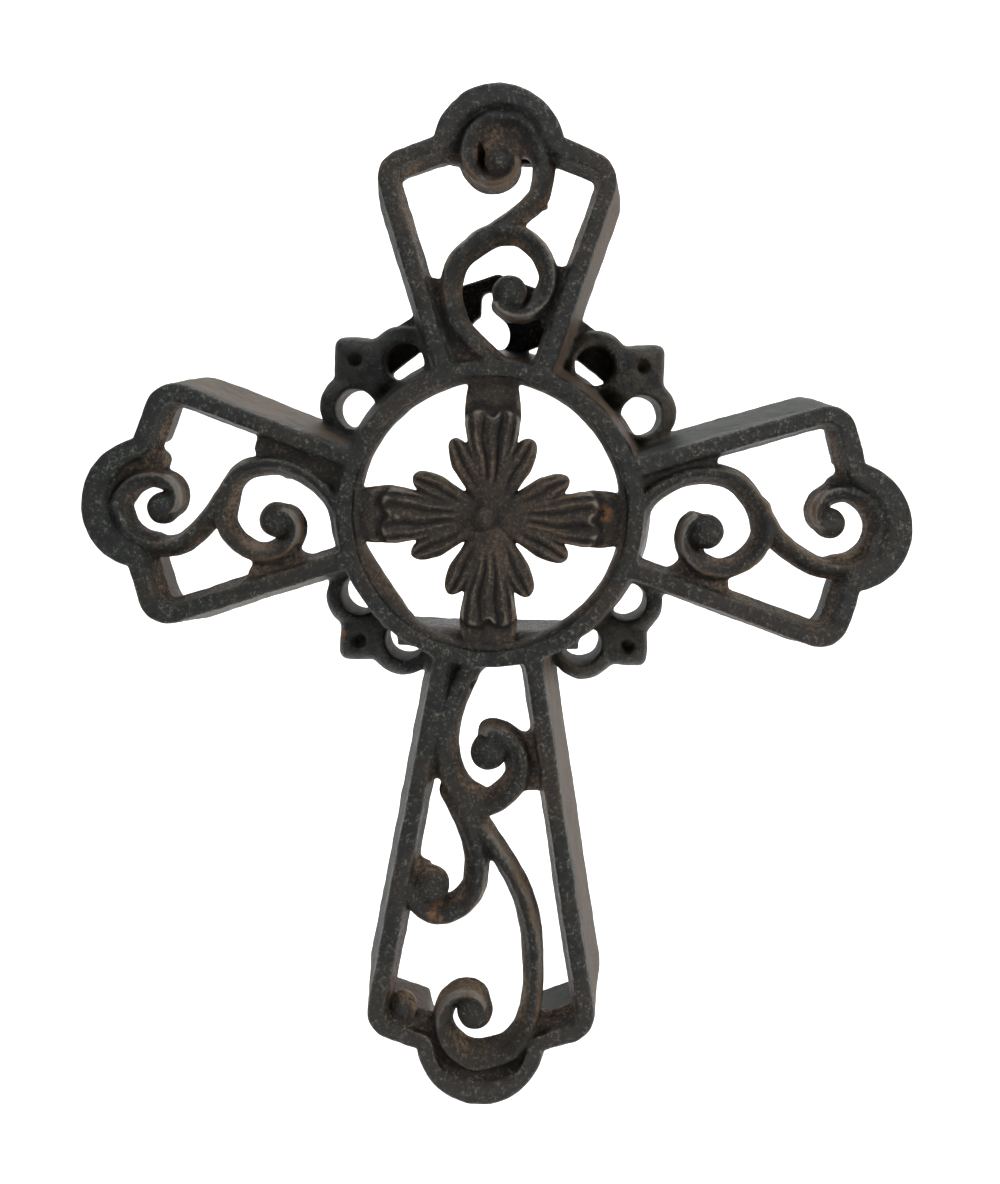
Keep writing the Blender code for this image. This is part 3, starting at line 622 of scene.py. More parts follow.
def add_petal(casting, turn, stations, spacing, phase, rolled):
    """A petal of rounded ribs with sharp grooves between them. A rolled one ends in two notched lobes."""
    along_table, half_table, slope_table = petal_halves(stations, 0 if rolled else SMALL_PETAL_HALF * 0.5)
    reach = stations[-1][0] + 1
    patch, x, z = casting.patch([(-reach, -reach), (reach, reach)], 0)
    z = z + FLOWER_DROP
    along = x * math.cos(turn) + z * math.sin(turn)
    across = z * math.cos(turn) - x * math.sin(turn)
    half = np.interp(along, along_table, half_table)
    slope = np.interp(along, along_table, slope_table)
    share = np.clip(across / np.maximum(half, 0.3), -1.2, 1.2)
    rise = np.interp(along, [station[0] for station in stations], [station[2] for station in stations])
    crest = SCROLL_BACK - (SCROLL_BACK - PETAL_SET_BACK) * rise
    off_middle = np.abs(share)
    wander = PETAL_WANDER * np.sin(along * PETAL_WANDER_RATE + 5 * turn)
    ribs = 1 - np.abs(np.cos(math.pi * (share / spacing + phase + wander)))
    ribs = ribs * smooth_step(along, *PETAL_RIBS_FROM)
    border = smooth_step(off_middle, *PETAL_BORDER)
    border_groove = PETAL_BORDER_DROP - PETAL_BORDER_DROP * smooth_step(off_middle, *PETAL_BORDER_CREST)
    ribs = ribs * (1 - border) + border * border_groove
    if rolled:
        notch = ROLL_NOTCH * np.exp(-((share / ROLL_NOTCH_HALF) ** 2))
        roll = PETAL_ROLL - notch - ROLL_SHOULDERS * share**4
        beyond = smooth_step(along, roll, roll + ROLL_STEP)
        settled = smooth_step(along, roll + ROLL_STEP, roll + ROLL_END)
        ribs = ribs * (1 - beyond) + beyond * (ROLL_DROP - ROLL_RISE * settled)
    surface = crest + PETAL_GROOVE * rise * ribs + PETAL_EDGE_DROP * smooth_step(off_middle, *PETAL_EDGE)
    flat = (np.abs(across) - half) / np.sqrt(1 + slope**2)
    flat = np.maximum(flat, np.maximum(stations[0][0] - along, along - stations[-1][0]))
    over = PETAL_SLOPE * (surface[:, :, None] - casting.depth)
    body = soft_max(flat[:, :, None], over, PETAL_ROUNDING)
    casting.add(patch, np.maximum(body, casting.depth - SCROLL_BACK), PETAL_FILLET)


def add_flower(casting):
    """Small petals, big petals over them, and the boss. Stations: place, half width, height share."""
    big = [
        (PETAL_ROOT, BIG_PETAL_WAIST * 0.8, 0.6),
        (7.0, BIG_PETAL_WAIST * 0.9, 0.72),
        (11.0, BIG_PETAL_WAIST, 0.84),
        (18.0, BIG_PETAL_HALF * 0.86, 0.94),
        (24.0, BIG_PETAL_HALF, 1.0),
        (28.0, BIG_PETAL_HALF * 0.96, 0.9),
        (LEDGE_INNER + 1.6, BIG_PETAL_HALF * 0.86, 0.8),
    ]
    small = [
        (PETAL_ROOT + 1.5, SMALL_PETAL_HALF * 0.5, 0.55),
        (9.0, SMALL_PETAL_HALF * 0.78, 0.7),
        (14.5, SMALL_PETAL_HALF, 0.84),
        (18.0, SMALL_PETAL_HALF * 0.8, 0.84),
        (SMALL_PETAL_TIP, SMALL_PETAL_HALF * 0.45, 0.76),
    ]
    turns = [2 * math.pi * i / BIG_PETALS for i in range(BIG_PETALS)]
    for turn in turns:
        for side in (-1, 1):
            lean = math.radians(SMALL_PETAL_LEAN) * side
            add_petal(casting, turn + lean, small, SMALL_RIB_SPACING, 0.5, False)
    for turn in turns:
        add_petal(casting, turn, big, BIG_RIB_SPACING, 0.0, True)
    casting.ball(0, -FLOWER_DROP, SCROLL_BACK, DISC_RADIUS, DISC_STRETCH)
    casting.ball(BOSS_SHIFT, -FLOWER_DROP, BOSS_DEPTH, BOSS_RADIUS)


def lobe_outline():
    """The pointed leaf between two scallops, the same on both sides of its diagonal."""
    turn = LOBE_TIP - LOBE_TIP_RADIUS
    half = [(LOBE_ROOT, LOBE_NECK + 1.0), (LOBE_NECK, LOBE_TIP - 0.4), (LOBE_NECK + 5.0, LOBE_TIP)]
    tip = []
    for angle in np.linspace(math.pi / 2, 0, 7):
        tip.append((turn + LOBE_TIP_RADIUS * math.cos(angle), turn + LOBE_TIP_RADIUS * math.sin(angle)))
    other = [(z, x) for x, z in reversed(half)]
    return half + tip + other + [(LOBE_CORE, LOBE_CORE)]


def add_ornament(casting, side_x, side_z, size):
    """Two pierced scallops and the leaf between them, set back between two arms."""
    rise = UPPER_SHIFT_Z if side_z > 0 else 0.0

    def corner(point):
        return point[0] * side_x * size + ORNAMENT_SHIFT_X, point[1] * side_z * size + rise

    leaf = [corner(point) for point in lobe_outline()]
    scallops = [corner((SCALLOP_NEAR, SCALLOP_FAR)), corner((SCALLOP_FAR, SCALLOP_NEAR))]
    patch, x, z = casting.patch(leaf + scallops, SCALLOP_RADIUS + FAR)
    flat = outline_distance(x, z, leaf)
    bored = np.full(x.shape, FAR)
    for middle_x, middle_z in scallops:
        flat = soft_min(flat, np.hypot(x - middle_x, z - middle_z) - SCALLOP_RADIUS, SCALLOP_FILLET)
        inset = 1 - HOLE_INSET / math.hypot(middle_x, middle_z)
        bored = np.minimum(bored, np.hypot(x - middle_x * inset, z - middle_z * inset) - SCALLOP_HOLE)
    flat = np.maximum(flat, RING_BORE - np.hypot(x, z))[:, :, None]
    front = DEPTH - ORNAMENT_DEPTH
    body = soft_max(flat, front - casting.depth, ORNAMENT_ROUNDING)
    body = soft_max(body, casting.depth - DEPTH + ORNAMENT_BACK_GAP, 0.6)
    body = soft_max(body, -bored[:, :, None], HOLE_ROUNDING)
    dimple_x, dimple_z = corner((DIMPLE_PLACE, DIMPLE_PLACE))
    aside = np.hypot(x - dimple_x, z - dimple_z)[:, :, None]
    sunk = (casting.depth - front) * DIMPLE_RADIUS / DIMPLE_DEPTH
    dimple = np.sqrt(aside**2 + sunk**2) - DIMPLE_RADIUS
    casting.add(patch, soft_max(body, -dimple, 0.5), ORNAMENT_FILLET)


def add_hanger(casting):
    """The strap with the keyhole."""
    right = [
        (0.0, PLATE_APEX),
        (PLATE_CREST_HALF, PLATE_APEX - PLATE_CREST_DROP),
        (PLATE_HALF, PLATE_END_TOP),
        (PLATE_HALF, PLATE_END_BOTTOM),
        (PLATE_ARMPIT_HALF, PLATE_ARMPIT),
    ]
    left = [(-x, z) for x, z in reversed(right[1:])]
    reach = KEYHOLE_RADIUS + KEYHOLE_RIM
    lobe = []
    for angle in np.radians(np.linspace(*KEYHOLE_RIM_ENDS, 12)):
        lobe.append((KEYHOLE_X + reach * math.cos(angle), KEYHOLE_Z + reach * math.sin(angle)))
    outline = right + lobe + left
    patch, x, z = casting.patch(outline, FAR)
    flat = outline_distance(x, z, outline)
    eye = np.hypot(x - KEYHOLE_X, z - KEYHOLE_Z) - KEYHOLE_RADIUS
    slot_top = KEYHOLE_TOP - KEYHOLE_SLOT_HALF
    slot = np.hypot(x - KEYHOLE_X, np.maximum(z - slot_top, 0)) - KEYHOLE_SLOT_HALF
    slot = np.maximum(slot, KEYHOLE_Z - z)
    flat = np.maximum(flat, -np.minimum(eye, slot))[:, :, None]
    plate_back = DEPTH - BACK
    body = soft_max(flat, plate_back - PLATE_THICKNESS - casting.depth, 0.5)
    casting.add(patch, soft_max(body, casting.depth - plate_back, 0.3), 0.6)


def add_stiffeners(casting):
    """The bar behind the ring, the plate that closes the top hump, and the lump in the bottom arm."""
    bar_bottom = BAR_TOP - BAR_THICKNESS
    bar = [(-BAR_HALF, BAR_TOP), (BAR_HALF, BAR_TOP), (BAR_HALF, bar_bottom), (-BAR_HALF, bar_bottom)]
    casting.slab(bar, BAR_FRONT, DEPTH - BAR_BACK_GAP, BAR_ROUNDING)
    top = ARMS["top"]
    radius = top.hump_radius + DRAFT - WALL / 2
    spread = math.acos((HUMP_PLATE_START - top.hump[0]) / radius)
    cap = []
    for angle in np.linspace(spread, -spread, 24):
        cap.append((radius * math.sin(angle), top.hump[0] + radius * math.cos(angle)))
    cap_back = DEPTH - HUMP_PLATE_BACK_GAP
    casting.slab(cap, cap_back - HUMP_PLATE_THICKNESS, cap_back)
    x, z = ARMS["bottom"].place(*KNOB)
    casting.ball(x, z, KNOB_DEPTH, KNOB_RADIUS)


# Casting flaws: place (x, z), depth and radius of small lumps and bites
LUMPS = [(11.4, 73.2, 4.6, 0.8), (-49.0, 7.6, 5.4, 0.8), (45.4, 4.4, 4.8, 0.55),
         (49.8, 0.7, 4.8, 0.6), (-21.9, -1.4, 0.9, 0.5)]
BITES = [(-10.8, 98.2, 0.6, 1.3), (-12.9, 96.3, 1.4, 1.1), (-3.2, -41.0, 4.0, 1.3),
         (-1.6, -39.0, 4.6, 1.1), (25.6, -4.0, 0.9, 1.1), (29.5, -3.2, 1.6, 0.8)]


def add_flaws(casting):
    for x, z, depth, radius in LUMPS:
        casting.ball(x, z, depth, radius)
    for x, z, depth, radius in BITES:
        casting.ball(x, z, depth, radius, carve=True)


def blurred(field, reach):
    """The field averaged over a box of 2 reach + 1 points a side, one axis after another."""
    for axis in range(3):
        pads = [(0, 0)] * 3
        pads[axis] = (reach + 1, reach)
        sums = np.cumsum(np.pad(field, pads, "edge"), axis=axis, dtype=np.float32)
        size = 2 * reach + 1
        high = np.take(sums, range(size, sums.shape[axis]), axis=axis)
        low = np.take(sums, range(0, sums.shape[axis] - size), axis=axis)
        field = (high - low) / size
    return field


def sampled(field, casting, points):
    """The field at points (x, z, depth), between its grid points."""
    place = (points - np.array(GRID_LOW, np.float32)) / casting.pitch
    place = np.clip(place, 0, np.array(field.shape) - 1.001)
    corner = place.astype(np.int32)
    share = place - corner
    value = np.zeros(len(points), np.float32)
    for step in range(8):
        offset = np.array([(step >> axis) & 1 for axis in range(3)])
        weight = np.prod(np.where(offset, share, 1 - share), axis=1)
        index = corner + offset
        value += weight * field[index[:, 0], index[:, 1], index[:, 2]]
    return value


def skin(casting):
    """The mesh of the casting's surface, in the row's frame."""
    grid = openvdb.FloatGrid(BAND * casting.pitch)
    field = np.clip(casting.iron, -BAND * casting.pitch, BAND * casting.pitch)
    grid.copyFromArray(field, tolerance=0)
    grid.transform = openvdb.createLinearTransform(voxelSize=casting.pitch)
    points, quads = grid.convertToQuads(isovalue=0.0)
    points = points + np.array(GRID_LOW, np.float32)
    mesh = bpy.data.meshes.new("wall_cross_skin")
    mesh.vertices.add(len(points))
    mesh.loops.add(quads.size)
    mesh.polygons.add(len(quads))
    mesh.vertices.foreach_set("co", in_row_frame(points).ravel())
    mesh.polygons.foreach_set("loop_start", np.arange(0, quads.size, 4, dtype=np.int32))
    mesh.polygons.foreach_set("vertices", quads[:, ::-1].astype(np.int32).ravel())
    mesh.update(calc_edges=True)
    return mesh


def in_row_frame(points):
    """Points (x, z, depth) in mm, as points (X, Y, Z) in metres."""
    moved = np.column_stack((points[:, 0], points[:, 2] + FRONT, points[:, 1] - HANG_Z))
    return np.ascontiguousarray(moved * MM, dtype=np.float32)


def coordinates(mesh):
    points = np.empty(len(mesh.vertices) * 3, np.float32)
    mesh.vertices.foreach_get("co", points)
    return points.reshape(-1, 3)


def roughened(points, normals):
    """The points moved along their normals by the waves of a sand casting."""
    draw = np.random.default_rng(WAVE_SEED)
    height = np.zeros(len(points), np.float32)
    for wavelength, depth, count in WAVES:
        for _ in range(count):
            way = draw.normal(size=3)
            way = way / np.linalg.norm(way) * 2 * math.pi / wavelength
            phase = draw.uniform(0, 2 * math.pi)
            height += depth * np.sin(points @ way.astype(np.float32) + phase) / math.sqrt(count / 2)
    return points + normals * height[:, None]


def make_cross(low, high):
    """The whole casting as one piece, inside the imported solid's box."""
    casting = Casting(PITCH)
    for arm in ARMS.values():
        add_rim(casting, arm)
        add_well(casting, arm)
    for key, outline in WEBS:
        casting.slab([ARMS[key].place(u, v) for u, v in outline], WEB_SET_BACK, SCROLL_BACK)
    for strand in STRANDS.values():
        add_scroll(casting, strand)
    add_stiffeners(casting)
    for side_z, size in ((1, UPPER_ORNAMENT), (-1, LOWER_ORNAMENT)):
        for side_x in (-1, 1):
            add_ornament(casting, side_x, side_z, size)
    add_hanger(casting)
    add_ring(casting)
    add_flower(casting)
    add_flaws(casting)
    soft = blurred(np.clip(casting.iron, -FAR, FAR), 1)
    casting.iron = soft * BLUR_SHARE + casting.iron * (1 - BLUR_SHARE)
    mesh = skin(casting)
    points = coordinates(mesh)
    normals = np.empty(len(points) * 3, np.float32)
    mesh.vertex_normals.foreach_get("vector", normals)
    points = roughened(points, normals.reshape(-1, 3))
    mesh.vertices.foreach_set("co", points.ravel())
    cross = bpy.data.objects.new("cross_casting", mesh)
    bpy.context.scene.collection.objects.link(cross)
    thin = cross.modifiers.new("thin", "DECIMATE")
    thin.ratio = min(1.0, MOST_TRIANGLES / (2 * len(mesh.polygons)))
    thin.use_collapse_triangulate = True
    graph = bpy.context.evaluated_depsgraph_get()
    fine = bpy.data.meshes.new_from_object(cross.evaluated_get(graph))
    cross.modifiers.clear()
    cross.data = fine
    bpy.data.meshes.remove(mesh)
    points = coordinates(fine)
    points = np.clip(points, np.array(low, np.float32), np.array(high, np.float32))
    fine.vertices.foreach_set("co", points.ravel())
    fine.polygons.foreach_set("use_smooth", np.ones(len(fine.polygons), bool))
    mark_surface(fine, casting, points)
    fine.update()
    return cross


def mark_surface(mesh, casting, points):
    """Notes at each point how sharp an edge or deep a hollow is there, and if a rim encloses it."""
    x, y, z = points.T / MM
    grid_points = np.column_stack((x, z + HANG_Z, y - FRONT))
    near = np.clip(casting.iron, -MARK_NEAR, MARK_NEAR)
    fine_bend = sampled(blurred(blurred(near, EDGE_REACH), EDGE_REACH) - near, casting, grid_points)
    wide_bend = sampled(blurred(blurred(near, HOLLOW_REACH), HOLLOW_REACH) - near, casting, grid_points)
    inside = np.full((len(casting.x), len(casting.z)), FAR, np.float32)
    for arm in ARMS.values():
        outline = arm.outline(0, ARM_ROOT)
        patch, x, z = casting.patch(outline, 0)
        inside[patch] = np.minimum(inside[patch], outline_distance(x, z, outline))
    x, z = np.meshgrid(casting.x, casting.z, indexing="ij")
    inside = np.minimum(inside, np.hypot(x, z) - RING_OUTER)
    inside = inside[:, :, None].repeat(2, axis=2)
    enclosed = np.clip(sampled(inside, casting, grid_points * (1, 1, 0)), -FAR, FAR)
    for name, values in (("edge", fine_bend), ("hollow", wide_bend), ("enclosed", enclosed)):
        mesh.attributes.new(name, "FLOAT", "POINT").data.foreach_set("value", values.astype(np.float32))


class Nodes:
    """A short way to write a material's nodes."""

    def __init__(self, name):
        self.material = bpy.data.materials.new(name)
        self.material.use_nodes = True
        self.tree = self.material.node_tree
        self.shader = self.tree.nodes["Principled BSDF"]

    def node(self, kind, inputs=(), **settings):
        made = self.tree.nodes.new(kind)
        for name, value in settings.items():
            setattr(made, name, value)
        for name, value in dict(inputs).items():
            self.put(made.inputs[name], value)
        return made

    def put(self, socket, value):
        if isinstance(value, bpy.types.NodeSocket):
            self.tree.links.new(value, socket)
        else:
            socket.default_value = value

    def math(self, operation, one, two=0.0, clamp=False):
        made = self.node("ShaderNodeMath", {0: one, 1: two}, operation=operation, use_clamp=clamp)
        return made.outputs[0]

    def times(self, one, two):
        return self.math("MULTIPLY", one, two)

    def plus(self, one, two, clamp=False):
        return self.math("ADD", one, two, clamp)

    def distance(self, place, middle, weights):
        """How far place is from middle, with a weight for each axis."""
        offset = self.node("ShaderNodeVectorMath", {0: place, 1: middle}, operation="SUBTRACT")
        offset = self.node("ShaderNodeVectorMath", {0: offset.outputs[0], 1: weights}, operation="MULTIPLY")
        length = self.node("ShaderNodeVectorMath", {0: offset.outputs[0]}, operation="LENGTH")
        return length.outputs["Value"]

    def between(self, value, low, high):
        """0 below low, 1 above high, smooth between them. Low may be the greater."""
        inputs = {"Value": value, "From Min": low, "From Max": high}
        made = self.node("ShaderNodeMapRange", inputs, interpolation_type="SMOOTHSTEP")
        return made.outputs["Result"]

    def blend(self, share, one, two):
        made = self.node("ShaderNodeMix", data_type="RGBA")
        self.put(made.inputs["Factor"], share)
        self.put(made.inputs[6], one)
        self.put(made.inputs[7], two)
        return made.outputs[2]

    def noise(self, place, scale, detail, roughness):
        inputs = {"Vector": place, "Scale": scale, "Detail": detail, "Roughness": roughness}
        return self.node("ShaderNodeTexNoise", inputs).outputs["Fac"]

    def attribute(self, name):
        return self.node("ShaderNodeAttribute", attribute_name=name).outputs["Fac"]


# Colours of the worn finish, some of them also used for painted shade, painted highlights and painted light
BLACK = (0.0015, 0.0018, 0.0019, 1)
BLUE_BLACK = (0.0075, 0.0100, 0.0095, 1)
WARM_BLACK = (0.016, 0.0115, 0.0080, 1)
SPECKLE_LEFT = (0.120, 0.135, 0.105, 1)
SPECKLE_RIGHT = (0.150, 0.128, 0.100, 1)
RUST_BROWN = (0.040, 0.0245, 0.0150, 1)
TAN = (0.17, 0.115, 0.072, 1)
# The next two are painted light on the side walls: lit taupe for walls facing right, shaded grey-green for
# walls facing left
LIT_WALL_TAUPE = (0.105, 0.080, 0.062, 1)
SHADED_WALL_GREY_GREEN = (0.030, 0.036, 0.030, 1)
# The next two are dust with painted light: darker on the left half, lighter on the right half
SHADED_DUST_LEFT = (0.014, 0.020, 0.016, 1)
LIT_DUST_RIGHT = (0.040, 0.034, 0.022, 1)
BARE_IRON = (0.26, 0.24, 0.21, 1)
ORANGE_RUST = (0.26, 0.105, 0.03, 1)

# Places of orange rust, (x, z) in mm from the ring's centre, with a radius
RUST_SPOTS = [(-10.5, -94.5, 3.0), (-36.5, -32.0, 2.4), (27.0, 0.5, 3.0), (84.0, 28.0, 2.6)]


def iron():
    """Worn black paint over rusting cast iron, with painted shade in the grooves and hollows, painted
    highlights on the ridges, and painted light on the side walls and the dust.
    """
    nodes = Nodes("worn_cast_iron")
    place = nodes.node("ShaderNodeTexCoord").outputs["Object"]
    parts = nodes.node("ShaderNodeSeparateXYZ", {"Vector": place})
    depth = nodes.math("SUBTRACT", nodes.math("DIVIDE", parts.outputs["Y"], MM), FRONT)
    normal = nodes.node("ShaderNodeNewGeometry").outputs["Normal"]
    normal = nodes.node("ShaderNodeSeparateXYZ", {"Vector": normal})
    facing = nodes.times(normal.outputs["Y"], -1.0)
    patches = nodes.noise(place, 70.0, 5.0, 0.65)
    mottle = nodes.noise(place, 300.0, 4.0, 0.7)
    speckle = nodes.noise(place, 1300.0, 4.0, 0.8)
    grain = nodes.noise(place, 3200.0, 2.0, 0.6)

    # Black paint, bluer and warmer by patches, with fine pale speckle
    cold = nodes.between(mottle, 0.42, 0.60)
    warm = nodes.plus(patches, nodes.between(parts.outputs["Z"], -0.160, -0.190))
    warm = nodes.between(warm, 0.46, 0.62)
    colour = nodes.blend(cold, BLACK, BLUE_BLACK)
    colour = nodes.blend(nodes.times(warm, 0.8), colour, WARM_BLACK)
    pale = nodes.times(nodes.between(speckle, 0.52, 0.64), nodes.between(mottle, 0.38, 0.60))
    side = nodes.between(nodes.plus(parts.outputs["X"], nodes.times(patches, 0.06)), -0.03, 0.08)
    colour = nodes.blend(pale, colour, nodes.blend(side, SPECKLE_LEFT, SPECKLE_RIGHT))

    # Rust brown on the flanks and in the hollows inside the rims, and all over the flower, with painted
    # shade in the grooves and a painted highlight on the ridges
    enclosed = nodes.between(nodes.attribute("enclosed"), -1.6, -2.8)
    sunk = nodes.between(depth, 1.3, 2.6)
    shallow = nodes.between(depth, 12.0, 8.0)
    flower = nodes.between(nodes.distance(place, (0, 0, -HANG_Z * MM), (1, 0, 1)), 0.0325, 0.0315)
    flank = nodes.math("MAXIMUM", sunk, nodes.times(flower, 0.75))
    flank = nodes.times(nodes.times(enclosed, flank), shallow)
    uneven = nodes.between(nodes.plus(mottle, nodes.times(patches, 0.6)), 0.56, 0.96)
    rusty = nodes.times(flank, nodes.plus(0.15, nodes.times(uneven, 0.65)))
    colour = nodes.blend(rusty, colour, RUST_BROWN)
    tan_share = nodes.times(flank, nodes.between(nodes.plus(speckle, patches), 0.98, 1.22))
    tan_share = nodes.times(tan_share, nodes.math("SUBTRACT", 0.8, nodes.times(flower, 0.5)))
    colour = nodes.blend(tan_share, colour, TAN)
    edge = nodes.attribute("edge")
    flecks = nodes.math("SUBTRACT", speckle, 0.5)
    bend = nodes.plus(edge, nodes.times(flecks, 0.3))
    # Painted shade: the grooves darkened towards black
    groove = nodes.times(nodes.between(bend, 0.0, -0.10), flank)
    colour = nodes.blend(nodes.times(groove, 0.8), colour, BLACK)
    # Painted highlight: the ridge crests lightened towards tan
    ridge = nodes.times(nodes.between(bend, 0.05, 0.17), flank)
    colour = nodes.blend(nodes.times(ridge, 0.4), colour, TAN)

    # Side walls: thin paint with painted light on it: lighter taupe on walls facing right, towards the key
    # light, and darker grey-green on walls facing left
    wall = nodes.times(nodes.between(depth, 1.2, 4.0), nodes.between(facing, 0.75, 0.35))
    outside = nodes.math("SUBTRACT", 1.0, enclosed)
    wall = nodes.times(wall, outside)
    # Painted light: the wall colour goes lighter as the wall turns to face right
    lit_rightward = nodes.between(nodes.plus(normal.outputs["X"], nodes.times(patches, 0.4)), -0.2, 0.7)
    lit_and_shaded_wall_colour = nodes.blend(lit_rightward, SHADED_WALL_GREY_GREEN, LIT_WALL_TAUPE)
    wall_share = nodes.times(wall, nodes.plus(0.62, nodes.times(uneven, 0.38)))
    colour = nodes.blend(wall_share, colour, lit_and_shaded_wall_colour)

    # Dust on the ornaments and the strap, which stand further back, with painted light: lighter on the
    # right half of the cross and darker on the left
    dusty = nodes.times(nodes.between(depth, 9.0, 12.0), nodes.between(facing, 0.2, 0.6))
    dusty = nodes.times(dusty, outside)
    dusty = nodes.times(dusty, nodes.between(nodes.plus(patches, mottle), 0.86, 1.12))
    # Painted light: the dust turns lighter towards the right half of the cross and darker on the left
    dust_lit_right_shaded_left = nodes.blend(side, SHADED_DUST_LEFT, LIT_DUST_RIGHT)
    colour = nodes.blend(nodes.times(dusty, 0.85), colour, dust_lit_right_shaded_left)

    # Painted shade in the deepest hollows, bare metal along the worn edges
    hollow = nodes.attribute("hollow")
    # Painted shade: the deepest hollows darkened towards black
    hollow_shade = nodes.times(nodes.between(hollow, -0.5, -1.3), nodes.math("SUBTRACT", 1.0, flank))
    colour = nodes.blend(nodes.times(hollow_shade, 0.55), colour, BLACK)
    edge = nodes.plus(edge, nodes.times(flecks, 0.18))
    edge = nodes.plus(edge, nodes.times(nodes.math("SUBTRACT", patches, 0.5), 0.2))
    near_face = nodes.math("MAXIMUM", nodes.between(depth, 2.8, 1.4), nodes.between(depth, 10.0, 12.0))
    worn = nodes.times(nodes.between(edge, 0.08, 0.19), near_face)
    worn_colour = nodes.blend(nodes.between(patches, 0.42, 0.6), BARE_IRON, TAN)
    colour = nodes.blend(nodes.times(worn, 0.7), colour, worn_colour)

    # Orange rust spots
    rust = 0.0
    for x, z, radius in RUST_SPOTS:
        middle = (x * MM, FRONT * MM / 2, (z - HANG_Z) * MM)
        spot = nodes.math("DIVIDE", nodes.distance(place, middle, (1, 0.1, 1)), radius * MM)
        spot = nodes.between(spot, 1.0, 0.3)
        rust = nodes.math("MAXIMUM", spot, rust)
    rust = nodes.times(rust, nodes.between(mottle, 0.44, 0.58))
    colour = nodes.blend(nodes.times(rust, 0.8), colour, ORANGE_RUST)
    nodes.put(nodes.shader.inputs["Base Color"], colour)

    # Half-gloss paint, duller where it is rusty, with a fine grain
    rough = nodes.plus(0.24, nodes.times(mottle, 0.28))
    rough = nodes.plus(rough, nodes.times(flank, 0.12))
    rough = nodes.plus(rough, nodes.times(wall, 0.14), clamp=True)
    nodes.put(nodes.shader.inputs["Roughness"], rough)
    nodes.put(nodes.shader.inputs["Metallic"], nodes.times(worn, 0.6))
    gloss = nodes.plus(nodes.times(nodes.between(facing, 0.15, 0.7), 0.36), 0.04)
    nodes.put(nodes.shader.inputs["Specular IOR Level"], gloss)

    height = nodes.plus(mottle, nodes.times(speckle, 0.7))
    height = nodes.plus(height, nodes.times(grain, 0.35))
    bump = nodes.node("ShaderNodeBump", {"Strength": 0.9, "Distance": 0.0006, "Height": height})
    nodes.put(nodes.shader.inputs["Normal"], bump.outputs["Normal"])
    return nodes.material


def pale_stage():
    """A pale floor that sweeps up into a backdrop, in metres."""
    floor_z = -0.42
    front_y = -2.5
    back_y = 1.1
    top_z = 3.0
    bend = 0.5
    half = 3.0
    profile = [(front_y, floor_z)]
    for angle in np.linspace(0, math.pi / 2, 16):
        profile.append((back_y - bend + bend * math.sin(angle), floor_z + bend - bend * math.cos(angle)))
    profile.append((back_y, top_z))
    points = [(x, y, z) for y, z in profile for x in (-half, half)]
    faces = [(2 * i, 2 * i + 1, 2 * i + 3, 2 * i + 2) for i in range(len(profile) - 1)]
    mesh = bpy.data.meshes.new("pale_sweep")
    mesh.from_pydata(points, [], faces)
    mesh.polygons.foreach_set("use_smooth", [True] * len(faces))
    sweep = bpy.data.objects.new("pale_sweep", mesh)
    bpy.context.scene.collection.objects.link(sweep)
    nodes = Nodes("pale_paper")
    place = nodes.node("ShaderNodeTexCoord").outputs["Object"]
    tone = nodes.noise(place, 3.0, 2.0, 0.5)
    colour = nodes.blend(tone, (0.88, 0.88, 0.88, 1), (0.93, 0.93, 0.92, 1))
    nodes.put(nodes.shader.inputs["Base Color"], colour)
    nodes.shader.inputs["Roughness"].default_value = 0.9
    mesh.materials.append(nodes.material)
    return sweep


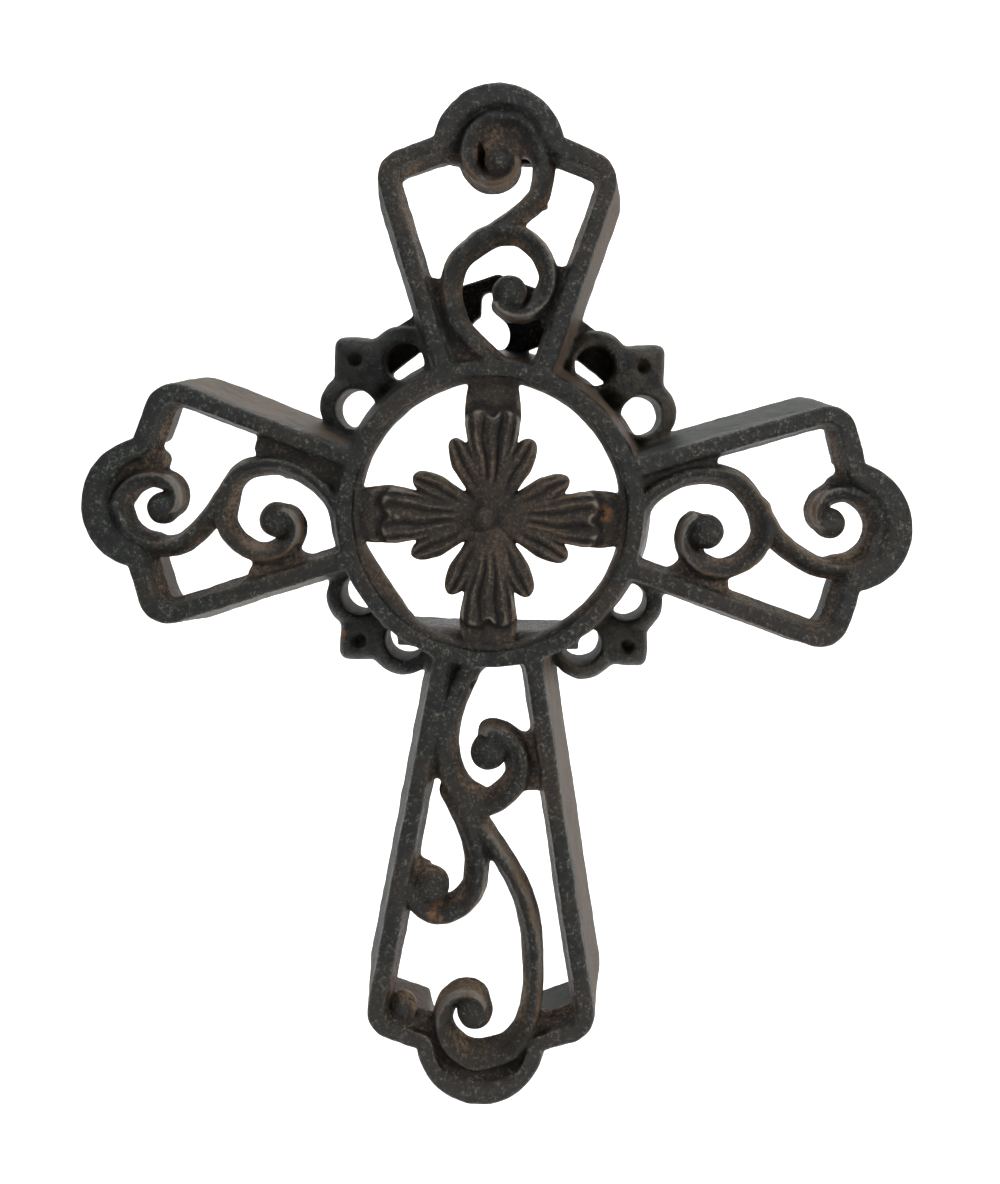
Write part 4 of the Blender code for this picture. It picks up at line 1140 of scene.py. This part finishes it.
# Soft lights: place and aim in metres, size, power in watts, spread in degrees and colour
LIGHTS = [
    ("key", (1.0, -0.45, 0.30), (0.0, 0.0, -0.05), 0.35, 9.0, 180, (1.0, 0.97, 0.93)),
    ("fill", (-0.8, -0.5, 0.5), (0.0, 0.0, -0.05), 0.4, 4.0, 180, (0.95, 0.98, 1.0)),
    ("top", (-0.1, -0.25, 1.0), (0.0, 0.0, 0.0), 0.4, 2.5, 180, (1.0, 1.0, 1.0)),
    ("backdrop", (0.0, 0.45, 1.6), (0.0, 1.1, 0.2), 1.0, 25.0, 88, (1.0, 1.0, 1.0)),
]


def make_lights():
    for name, place, aim, size, power, spread, colour in LIGHTS:
        data = bpy.data.lights.new(name, "AREA")
        data.shape = "DISK"
        data.size = size
        data.energy = power
        data.spread = math.radians(spread)
        data.color = colour
        lamp = bpy.data.objects.new(name, data)
        lamp.location = place
        lamp.rotation_euler = (Vector(aim) - Vector(place)).to_track_quat("-Z", "Y").to_euler()
        bpy.context.scene.collection.objects.link(lamp)
    world = bpy.data.worlds.new("studio")
    world.use_nodes = True
    world.node_tree.nodes["Background"].inputs["Color"].default_value = (1.0, 1.0, 1.0, 1)
    world.node_tree.nodes["Background"].inputs["Strength"].default_value = 0.14
    bpy.context.scene.world = world
    bpy.context.scene.view_settings.view_transform = "Standard"


def make_camera():
    data = bpy.data.cameras.new("camera")
    data.sensor_fit = "VERTICAL"
    data.sensor_height = CAMERA_SENSOR
    data.sensor_width = CAMERA_SENSOR
    data.lens = CAMERA_LENS
    data.shift_x, data.shift_y = CAMERA_SHIFT
    data.clip_start = 0.01
    data.clip_end = 20.0
    camera = bpy.data.objects.new("camera", data)
    camera.location = CAMERA_PLACE
    camera.rotation_euler = Euler((math.radians(90), math.radians(CAMERA_ROLL), 0))
    bpy.context.scene.collection.objects.link(camera)
    bpy.context.scene.camera = camera


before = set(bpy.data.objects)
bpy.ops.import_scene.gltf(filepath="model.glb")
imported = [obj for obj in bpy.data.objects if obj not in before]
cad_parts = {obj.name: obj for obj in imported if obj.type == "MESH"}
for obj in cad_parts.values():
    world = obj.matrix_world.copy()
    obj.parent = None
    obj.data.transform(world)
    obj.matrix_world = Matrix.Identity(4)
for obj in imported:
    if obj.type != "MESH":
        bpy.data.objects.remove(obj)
cad_low, cad_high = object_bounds()
cross = make_cross(cad_low, cad_high)
cross.data.materials.clear()
cross.data.materials.append(iron())
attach(cross, "root")
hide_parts("wall_cross")
pale_stage()
make_lights()
make_camera()
